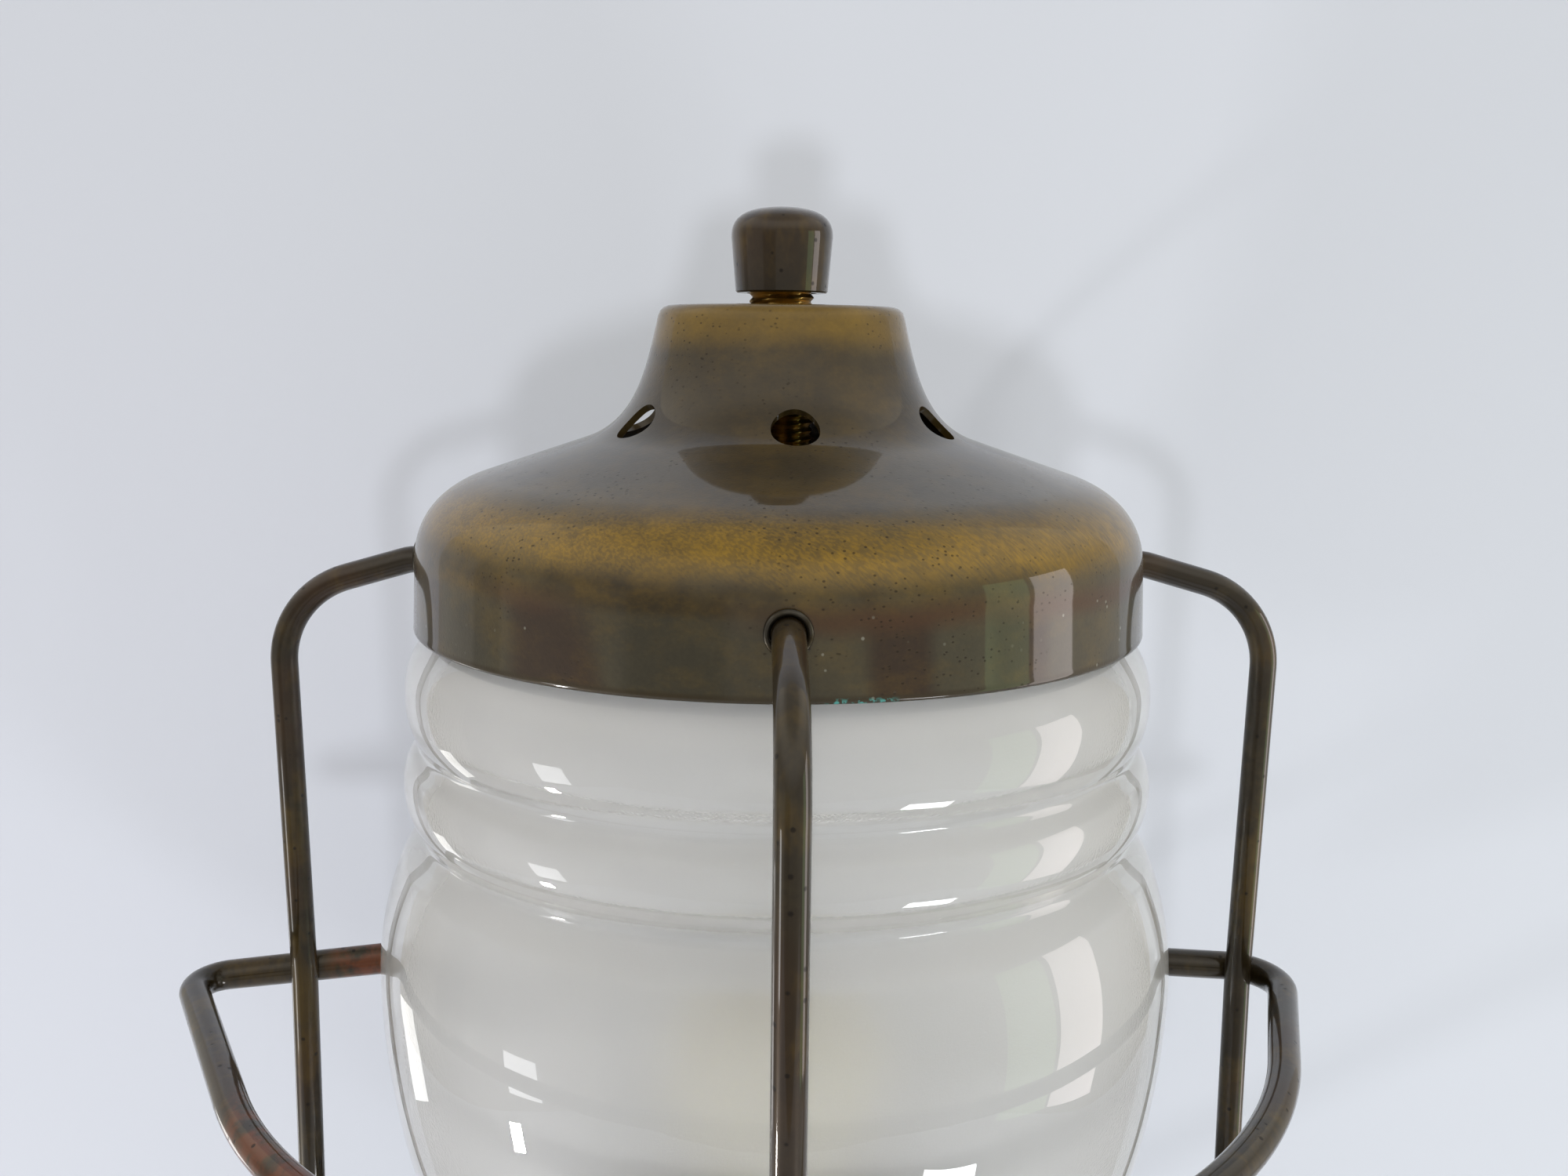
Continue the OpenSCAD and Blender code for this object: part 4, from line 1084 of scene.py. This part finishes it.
def rod_line(guard, cap_radius, cup_radius):
    """Centre line of a guard rod, outwards and up: square through the band, down its slope, upright with a
    waist at the hoop, and back through the cup."""
    kink, bow, out = 6 * MM, 60 * MM, 2 * MM
    in_cap, in_cup = 6.6 * MM, 5.7 * MM
    low = guard.rise - guard.length
    tan = math.tan(guard.slope)
    points = [
        [cap_radius - in_cap, guard.rise],
        [cap_radius + out, guard.rise],
        [guard.radius, guard.rise - (guard.radius - cap_radius - out) * tan],
        [guard.radius - guard.waist, -guard.hoop_drop],
        [guard.radius, low + (guard.radius - cup_radius - out) * tan],
        [cup_radius + out, low],
        [cup_radius - in_cup, low]]
    return evenly(rounded(points, [0, kink, guard.bend, bow, guard.bend, kink, 0], 25), 0.9 * MM)


def hoop_line(guard, glass):
    """Centre line of the hoop seen from above: two end bars behind the side rods, two corners and an arc
    that touches the front rod. It sits a little to the left."""
    side = guard.radius - guard.waist
    touch = (guard.rod + guard.wire) / 2
    low = (guard.hoop_drop - glass.equator) / glass.barrel_down
    end = math.sqrt(1 - low ** 2) * glass.radius + 0.7 * MM + guard.wire / 12
    front = -(side + touch)

    def corner(reach, sweep, lean):
        """Where a bar swept by sweep degrees starts and reaches its corner, both measured from front to
        back, and where the side that leans in by lean degrees from there meets the front."""
        slope = math.tan(math.radians(sweep))
        y = touch / math.cos(math.radians(sweep)) - (reach - side) * slope
        start = touch / math.cos(math.radians(sweep)) - (end - side) * slope
        return start, y, reach - (y - front) * math.tan(math.radians(lean))

    left, right = side + guard.left_overhang, side + guard.right_overhang
    left_start, left_y, left_x = corner(left, sweep=14.7, lean=28)
    right_start, right_y, right_x = corner(right, sweep=7.9, lean=19.9)
    points = [[-end, left_start], [-left, left_y], [-left_x, front], [right_x, front],
              [right, right_y], [end, right_start]]
    left_bend, front_bend, right_bend = 6, 97.4, 9.5
    bends = np.array([0, left_bend, front_bend, front_bend, right_bend, 0]) * MM
    return evenly(rounded(points, bends, 60), 1.0 * MM)


class LANTERN_OT_guard(bpy.types.Operator):
    """Bends the four guard rods and the hoop, and rolls the beads at their ends"""

    bl_idname = "lantern.guard"
    bl_label = "Guard"

    def execute(self, context):
        scene = context.scene
        guard, cap, base = scene.lantern_guard, scene.lantern_cap, scene.lantern_base
        line = rod_line(guard, cap.rim_radius, base.cup_radius)
        for k, side in enumerate(("front", "right", "back", "left")):
            piece(f"rod_{side}", [rope(line, guard.rod / 2, radial(90 * k))], "lantern", "rod_brass",
                  f"guard_rod_{side}")

        def flattened(s, f):
            """An ellipse: 1 / sqrt((cos f / width)^2 + (sin f / height)^2). Over the wire's first stretch
            it is the taller and the narrower the nearer it is to the start."""
            stretch = 36 * MM
            share = guard.flattening * np.clip(1 - s / stretch, 0, 1) ** 0.7
            return 1 / np.sqrt((np.cos(f) / (1 - 0.6 * share)) ** 2 + (np.sin(f) / (1 + share)) ** 2)

        flat = (UPRIGHT[0], ORIGIN - [0, 0, guard.hoop_drop])
        hoop = rope(hoop_line(guard, scene.lantern_glass), guard.wire / 2, flat, sides=32,
                    section=flattened)
        piece("hoop", [hoop], "lantern", "rod_brass", "guard_hoop")
        bead, gap = 1.1 * MM, 0.05 * MM
        low = guard.rise - guard.length
        ends = [(guard.rise, cap.rim_radius - cap.band_flare / 2), (low, base.cup_radius)]
        ring = arc([(guard.rod + bead) / 2 + gap, 0], bead / 2, 0, 345, 24)
        beads = [spin(ring, outward(90 * k, height, radius + bead / 2 + gap), segments=48, closed=True)
                 for k in range(4) for height, radius in ends]
        piece("beads", beads, "lantern", "bead_metal", "rod_beads")
        flats, thick = 8 * MM, 3.5 * MM
        inside = [(guard.rise, cap.rim_radius - cap.band_flare - cap.sheet - 0.6 * MM - thick),
                  (low, base.cup_radius - cap.sheet - 0.2 * MM - thick)]
        nuts = [nut(outward(90 * k, height, radius), flats, thick, guard.rod / 2 + FIT)
                for k in range(4) for height, radius in inside]
        piece("rod_lock_nuts", nuts, "lantern", "bare_brass", "rod_nuts")
        return {"FINISHED"}


class LANTERN_OT_cup(bpy.types.Operator):
    """Spins the base cup and knurls its thumb screws"""

    bl_idname = "lantern.cup"
    bl_label = "Base cup and thumb screws"

    def execute(self, context):
        base, sheet = context.scene.lantern_base, context.scene.lantern_cap.sheet
        top, foot, radius = -base.cup_top, -base.cup_foot, base.cup_radius
        gallery, mouth, fall = 49.4 * MM, 36 * MM, 3.4 * MM
        inner = fall - sheet
        outline = loop([
            [mouth, top - sheet], [mouth, top], [gallery, top], [gallery, top + 4 * MM],
            [gallery + sheet, top + 4 * MM], [gallery + sheet, top - 0.01 * MM],
            [radius, top - 0.02 * MM], [radius, foot],
            [radius - sheet, foot], [radius - sheet, top - sheet]],
            np.array([0.5, 0.5, 0.3, 0.55, 0.55, 0.0, fall / MM - 0.05, 0.5, 0.5, inner / MM]) * MM)
        piece("cup", [spin(outline, segments=200, closed=True)], "lantern", "patina_brass", "base_cup")
        boss, length, bore = 4.5 * MM, 4 * MM, 2.05 * MM
        outline = loop([[bore, -1 * MM], [boss, -1 * MM], [boss, length], [bore, length]],
                       np.array([0.2, 0.2, 0.9, 0.3]) * MM)
        turned = [spin(outline, outward(120 * k, -base.screw_depth, radius), segments=64, closed=True)
                  for k in range(3)]
        piece("bosses", turned, "lantern", "patina_brass", "screw_bosses")
        shaft, head, tip = 2 * MM, base.screw_head / 2, 52.7 * MM
        start, end = radius + 7 * MM, radius + 13 * MM
        profile = np.array([
            [0, tip], [shaft - 0.6 * MM, tip], [shaft, tip + 0.6 * MM], [shaft, start - 0.6 * MM],
            [shaft + 1.2 * MM, start], [head - 0.8 * MM, start], [head, start + 0.8 * MM],
            [head, (start + end) / 2], [head, end - 0.8 * MM], [head - 0.8 * MM, end],
            [head - 1.6 * MM, end], [head - 2.0 * MM, end - 0.5 * MM], [0, end - 0.5 * MM]])
        grip = knurl(head, teeth=40, depth=0.45 * MM)
        for k, side in enumerate(("front", "right", "left")):
            screw = spin(profile, outward(120 * k, -base.screw_depth), segments=240, shape=grip)
            piece(f"screw_{side}", [screw], f"screw_{side}", "rod_brass", f"thumb_screw_{side}")
        return {"FINISHED"}


class LANTERN_OT_tray(bpy.types.Operator):
    """Turns the tray, its head and the nut that holds them"""

    bl_idname = "lantern.tray"
    bl_label = "Tray and arm head"

    def execute(self, context):
        base, arm = context.scene.lantern_base, context.scene.lantern_arm
        foot, sheet, plate, bore = -base.cup_foot, 1.2 * MM, 1.5 * MM, 5.02 * MM
        wall, lip, rim = base.cup_radius - 1.6 * MM, base.cup_radius + 3 * MM, -166.5 * MM
        outline = loop([
            [bore, foot - plate], [lip, foot - plate], [lip, foot], [wall, foot], [wall, rim],
            [wall - sheet, rim], [wall - sheet, foot], [bore, foot]],
            np.array([0.2, 0.7, 0.7, 0.4, 0.5, 0.5, 1.0, 0.2]) * MM)
        made = piece("dish", [spin(outline, segments=200, closed=True)], "bracket", "patina_brass", "tray")
        bores, hole = [], 4 * MM
        for azimuth in range(45, 360, 90):
            spot = ORIGIN + compass(azimuth)[0] * 30 * MM + [0, 0, foot]
            bores.append(((UPRIGHT[0], spot), hole, -4 * MM, 3 * MM))
        drill(made, bores)
        head, sleeve, top = 16 * MM, arm.arm / 2 + 2.5 * MM, foot - plate
        nipple = top - 13.5 * MM
        t = np.radians(np.linspace(0, 90, 24))
        cove = np.stack([
            sleeve + (head - 1 * MM - sleeve) * (1 - np.sin(t)),
            top - 3 * MM - 8.5 * MM * (1 - np.cos(t))], axis=1)
        edge, socket = 0.5 * MM, arm.arm / 2 + FIT
        outline = np.concatenate([
            [[bore, top], [head - edge, top]], arc([head - edge, top - edge], edge, 80, 0, 4),
            arc([head - edge, top - 2.5 * MM], edge, 0, -90, 5), cove,
            [[sleeve, nipple - 8.5 * MM], [sleeve - edge, nipple - 9 * MM]],
            [[socket, nipple - 9 * MM], [socket, nipple], [bore, nipple]]])
        piece("head", [spin(outline, segments=128, closed=True)], "bracket", "patina_brass", "arm_head")
        flats, thick = 14 * MM, 3.5 * MM
        piece("tray_lock_nut", [nut(UPRIGHT, flats, thick, bore, foot)], "bracket", "bare_brass", "tray_nut")
        dress("bare_brass", "tray_nipple")
        return {"FINISHED"}


class LANTERN_OT_bulb(bpy.types.Operator):
    """Blows the bulb and rolls its screw cap"""

    bl_idname = "lantern.bulb"
    bl_label = "Bulb"

    def execute(self, context):
        base = context.scene.lantern_base
        radius, top = base.bulb / 2, -base.bulb_top
        centre, tip = top - radius, top - base.bulb_length
        seam, cap = tip + 26 * MM, 6.95 * MM
        globe = arc([0, centre], radius, 90, -50, 48)
        neck = cap + 1 * MM
        # The stem leaves the globe at 45 degrees, inwards and down, which is near the globe's own slope
        pull = 5 * MM * np.array([-math.cos(math.radians(40)), -math.sin(math.radians(50))])
        stem = bezier(globe[-1], globe[-1] + pull, [neck, seam + 6 * MM], [neck, seam + 0.6 * MM], 24)
        profile = np.concatenate([globe, stem[1:], [[neck - 0.6 * MM, seam], [0, seam]]])
        piece("bulb_opal", [spin(profile, segments=128)], "bulb", "bulb_opal", "bulb_glass")
        low, pitch = tip + 6 * MM, 2.8 * MM
        profile = np.concatenate([
            [[0, seam], [cap - 0.3 * MM, seam]],
            shank(cap, np.linspace(seam - 0.3 * MM, low + 0.5 * MM, 64)),
            [[cap - 0.8 * MM, low], [0, low]]])

        def rolled(r, h, a):
            """A rolled thread: r less its depth times a raised cosine of h / pitch - a / turn."""
            wave = 0.5 - 0.5 * np.cos(TURN * (h / pitch) - a)
            fade = np.clip((h - low) / pitch, 0, 1) * np.clip((seam - h) / pitch, 0, 1)
            return np.where(r > cap * 0.98, r - 0.8 * MM * wave * fade, r)

        piece("bulb_thread", [spin(profile, segments=96, shape=rolled)], "bulb", "bare_brass", "bulb_cap")
        nose = np.array([
            [0, low], [2.5 * MM, low], [2.4 * MM, low - 3.6 * MM], [1.9 * MM, low - 5.0 * MM],
            [1.0 * MM, low - 5.8 * MM], [0, low - 6 * MM]])
        piece("bulb_solder", [spin(nose, segments=48)], "bulb", "zinc_steel", "bulb_contact")
        return {"FINISHED"}


class LANTERN_OT_holder(bpy.types.Operator):
    """Casts the porcelain lampholder and fits its metal parts"""

    bl_idname = "lantern.holder"
    bl_label = "Lampholder"

    def execute(self, context):
        base = context.scene.lantern_base
        tip = -base.bulb_top - base.bulb_length
        floor, top, foot = tip - 5 * MM, tip + 23.5 * MM, -177 * MM
        side, lip, well, hole = 13 * MM, 1.5 * MM, 8.25 * MM, 1.25 * MM
        outline = loop([
            [side, foot], [side, top - 4 * MM], [side + lip, top - 3 * MM], [side + lip, top - 1 * MM],
            [side, top], [well, top], [well, floor], [hole, floor],
            [hole, floor - 6 * MM], [side - 3 * MM, floor - 6 * MM], [side - 3 * MM, foot]],
            np.array([0.8, 0.5, 0.5, 0.6, 0.5, 0.8, 0.4, 0.2, 0.2, 0.4, 0.6]) * MM)
        piece("lampholder", [spin(outline, segments=96, closed=True)], "bracket", "porcelain",
              "lampholder_body")
        dress("bare_brass", "lampholder_shell", "lampholder_contact")
        dress("zinc_steel", "lampholder_base")
        return {"FINISHED"}


class LANTERN_OT_arm(bpy.types.Operator):
    """Bends the arm and turns its collar"""

    bl_idname = "lantern.arm"
    bl_label = "Arm"

    def execute(self, context):
        arm = context.scene.lantern_arm
        top = heights("wall_arm")[1]
        end = REACH - (arm.rose_height - 6.5 * MM)
        line = rounded([[0, top], [0, -RISE], [end, -RISE]], [0, arm.bend, 0], 40)
        tube = rope(evenly(line, 1.2 * MM), arm.arm / 2, ARM_PLANE, sides=48)
        piece("arm", [tube], "bracket", "rod_brass", "wall_arm")
        bore, high = arm.arm / 2 + FIT, arm.rose_height
        outline = np.concatenate([
            [[bore, high], [bore + 4.6 * MM, high], [bore + 5 * MM, high + 0.4 * MM]],
            arc([bore + 4 * MM, high + 2.5 * MM], 1.6 * MM, -60, 60, 12),
            [[bore + 3 * MM, high + 4.7 * MM], [bore + 2.6 * MM, high + 5 * MM], [bore, high + 5 * MM]]])
        turned = spin(outline, ON_WALL, segments=96, closed=True)
        piece("collar", [turned], "bracket", "patina_brass", "arm_collar")
        flats, thick = 18 * MM, 4 * MM
        piece("arm_lock_nut", [nut(ON_WALL, flats, thick, bore, high - 5.5 * MM)], "bracket", "bare_brass",
              "arm_locknut")
        dress("lead_sheath", "lamp_lead")
        return {"FINISHED"}


class LANTERN_OT_rose(bpy.types.Operator):
    """Spins the wall rose and fits the strap, the terminals and the earth screw behind it"""

    bl_idname = "lantern.rose"
    bl_label = "Wall rose"

    def execute(self, context):
        arm = context.scene.lantern_arm
        metal, flange, bore = 1.5 * MM, 2 * MM, arm.arm / 2 + FIT
        flat, rise = arm.arm / 2 + 7 * MM, arm.rose_height - flange
        a = np.radians(np.linspace(0, 90, 40))
        dome = np.stack([flat + (arm.dome_radius - flat) * np.cos(a), flange + rise * np.sin(a)], axis=1)
        hollow = np.stack([flat + (arm.dome_radius - metal - flat) * np.cos(a),
                           flange + (rise - metal) * np.sin(a)], axis=1)
        outline = np.concatenate([
            [[arm.dome_radius - metal, 0], [arm.rose_radius - 0.3 * MM, 0]],
            arc([arm.rose_radius - 0.8 * MM, flange - 0.8 * MM], 0.8 * MM, 0, 90, 6),
            dome, [[bore, arm.rose_height], [bore, arm.rose_height - metal]], hollow[::-1]])
        spun = spin(outline, ON_WALL, segments=200, closed=True)
        made = piece("rose", [spun], "bracket", "patina_brass", "wall_rose")
        bores, hole = [], 2.25 * MM
        for angle in (90, 210, 330):
            turn = math.radians(angle)
            spot = arm.screw_circle / 2 * np.array([math.cos(turn), 0, math.sin(turn)])
            bores.append(((ON_WALL[0], spot), hole, -1 * MM, 4 * MM))
        drill(made, bores)
        dress("zinc_steel", "rose_strap", "terminal_screws")
        dress("block_plastic", "terminal_block")
        dress("bare_brass", "earth_screw", "earth_tag")
        return {"FINISHED"}


def lamp(name, power, azimuth, elevation, distance, width, height, colour):
    """A soft rectangular lamp that faces the lantern from that direction."""
    light = bpy.data.lights.new(name, "AREA")
    light.shape, light.size, light.size_y = "RECTANGLE", width, height
    light.energy, light.color = power, colour
    made = place(name, light)
    rise = math.radians(elevation)
    back = Vector(compass(azimuth)[0] * math.cos(rise) + np.array([0, 0, math.sin(rise)]))
    made.location = Vector(AIM) + back * distance
    made.rotation_euler = back.to_track_quat("Z", "Y").to_euler()
    made.visible_camera = False
    return made


def pale(name, colour):
    """Matt paint of wall and floor. From behind it lets everything through, so that the back can be
    seen."""
    f = Finish(bpy.data.materials.new(name))
    here = f.node("TexCoord", output="Object")
    cloud = f.noise(here, 3.0, 3.0)
    paint = f.node("BsdfPrincipled", None, {
        "Base Color": f.shade(colour[:3], 0.985 + 0.03 * cloud), "Roughness": 0.7,
        "Specular IOR Level": 0.25, "Normal": f.bump(f.noise(here, 700.0), 0.06, 0.2 * MM)})
    behind = f.node("NewGeometry", output="Backfacing")
    f.node("OutputMaterial", None, {"Surface": f.node("MixShader", None, {
        0: behind, 1: paint, 2: f.node("BsdfTransparent")})})
    return f.owner


def wall_grid():
    """Rings in the wall's plane round an opening behind the rose, so that light reaches its back. Each ring
    is a share of the way from the opening to the wall's edges."""
    a = np.linspace(0, TURN, 257)[:-1]
    ray = np.stack([np.cos(a), np.sin(a)], axis=1)
    limit = np.where(ray > 0, [WALL_RIGHT, WALL_TOP], [-WALL_LEFT, -WALL_FOOT])
    reach = (limit / np.maximum(np.abs(ray), 1e-9)).min(axis=1)
    share = np.array([0, 0.1, 0.3, 0.6, 1.0])[:, None]
    r = OPENING + share * (reach - OPENING)
    return np.stack([r * ray[:, 0], np.full(r.shape, 0.4 * MM), r * ray[:, 1]], axis=-1)


def room_light(room):
    """World that is bright above the horizon, with a darker ceiling. Round the horizon runs a fainter band
    with two dark gaps on the left."""
    f = Finish(bpy.data.worlds.new("room"))
    x, y, z = f.split(f.node("TexCoord", output="Generated"))
    azimuth = f.node("Math", {"operation": "ARCTAN2"}, {0: x, 1: y * -1.0}) * (360 / TURN)
    dark = azimuth.band(-104, -91, 1.5).most(azimuth.band(-46, -16, 3.0))
    front = z.band(-0.40, 0.20, 0.08) * (1 - dark * 0.9) * room.front
    above = z.step(0.05, 0.62) * (1 - z.step(0.70, 0.95) * 0.6)
    light = room.around + (room.overhead - room.around) * above + front
    glow = f.node("Background", None, {"Color": ROOM_GLOW, "Strength": light})
    f.node("OutputWorld", None, {"Surface": glow})
    return f.owner


def front_camera():
    """The camera at the photograph's viewpoint: turned, pitched down and rolled a little."""
    camera = bpy.data.cameras.new("camera")
    camera.lens, camera.sensor_width = LENS, SENSOR
    camera.clip_start, camera.clip_end = 0.01, 20
    level = np.array([math.cos(YAW), -math.sin(YAW), 0])
    ahead = np.array([
        math.sin(YAW) * math.cos(PITCH), math.cos(YAW) * math.cos(PITCH), -math.sin(PITCH)])
    over = np.cross(level, ahead)
    right = level * math.cos(ROLL) + over * math.sin(ROLL)
    up = over * math.cos(ROLL) - level * math.sin(ROLL)
    rows = [[*row, at] for row, at in zip(np.array([right, up, -ahead]).T, EYE)]
    made = place("camera", camera)
    made.matrix_world = Matrix(rows + [[0, 0, 0, 1]])
    return made


class LANTERN_OT_stage(bpy.types.Operator):
    """Sets up the pale wall and floor, the light and the camera"""

    bl_idname = "lantern.stage"
    bl_label = "Wall, light and camera"

    def execute(self, context):
        scene = context.scene
        room = scene.lantern_room
        wall = place("wall", mesh_of("wall", [patch(wall_grid(), wrap_columns=True)]))
        low, high = -FLOOR_HALF, FLOOR_HALF
        corners = np.array([[[x, y, FLOOR_HEIGHT] for y in (low, high)] for x in (low, high)])
        floor = place("floor", mesh_of("floor", [patch(corners)]))
        for surface, facing in ((wall, Vector((0, -1, 0))), (floor, Vector((0, 0, 1)))):
            if surface.data.polygons[0].normal.dot(facing) < 0:
                surface.data.flip_normals()
            surface.data.materials.append(pale(surface.name + "_paint", room.wall))
        scene.world = room_light(room)
        for name, settings in LAMPS.items():
            made = lamp(name, getattr(room, name), *settings)
            # The daylight stands near, to throw the rods' shadow on the wall, and makes no bright spot
            made.visible_glossy = name != "daylight"
        scene.camera = front_camera()
        scene.view_settings.view_transform = "Standard"
        return {"FINISHED"}


class LANTERN_PT_panel(bpy.types.Panel):
    """Lists the lantern's pieces in the sidebar"""

    bl_idname = "LANTERN_PT_panel"
    bl_label = "Lantern"
    bl_space_type = "VIEW_3D"
    bl_region_type = "UI"
    bl_category = "Lantern"

    def draw(self, context):
        for operator in OPERATORS:
            self.layout.operator(operator.bl_idname)
        for name, group in GROUPS.items():
            box = self.layout.box()
            box.label(text=group.__doc__)
            for key in group.__annotations__:
                box.prop(getattr(context.scene, name), key)


OPERATORS = (
    LANTERN_OT_stage,
    LANTERN_OT_cap,
    LANTERN_OT_knob,
    LANTERN_OT_shade,
    LANTERN_OT_guard,
    LANTERN_OT_cup,
    LANTERN_OT_tray,
    LANTERN_OT_bulb,
    LANTERN_OT_holder,
    LANTERN_OT_arm,
    LANTERN_OT_rose,
)


def register():
    for entry in (*GROUPS.values(), *OPERATORS, LANTERN_PT_panel):
        bpy.utils.register_class(entry)
    for name, group in GROUPS.items():
        setattr(bpy.types.Scene, name, PointerProperty(type=group))


def unregister():
    for name in GROUPS:
        delattr(bpy.types.Scene, name)
    for entry in reversed((*GROUPS.values(), *OPERATORS, LANTERN_PT_panel)):
        bpy.utils.unregister_class(entry)


def main():
    register()
    bpy.ops.lantern.stage()
    bpy.ops.lantern.cap()
    bpy.ops.lantern.knob()
    bpy.ops.lantern.shade()
    bpy.ops.lantern.guard()
    bpy.ops.lantern.cup()
    bpy.ops.lantern.tray()
    bpy.ops.lantern.bulb()
    bpy.ops.lantern.holder()
    bpy.ops.lantern.arm()
    bpy.ops.lantern.rose()


if __name__ == "__main__":
    main()
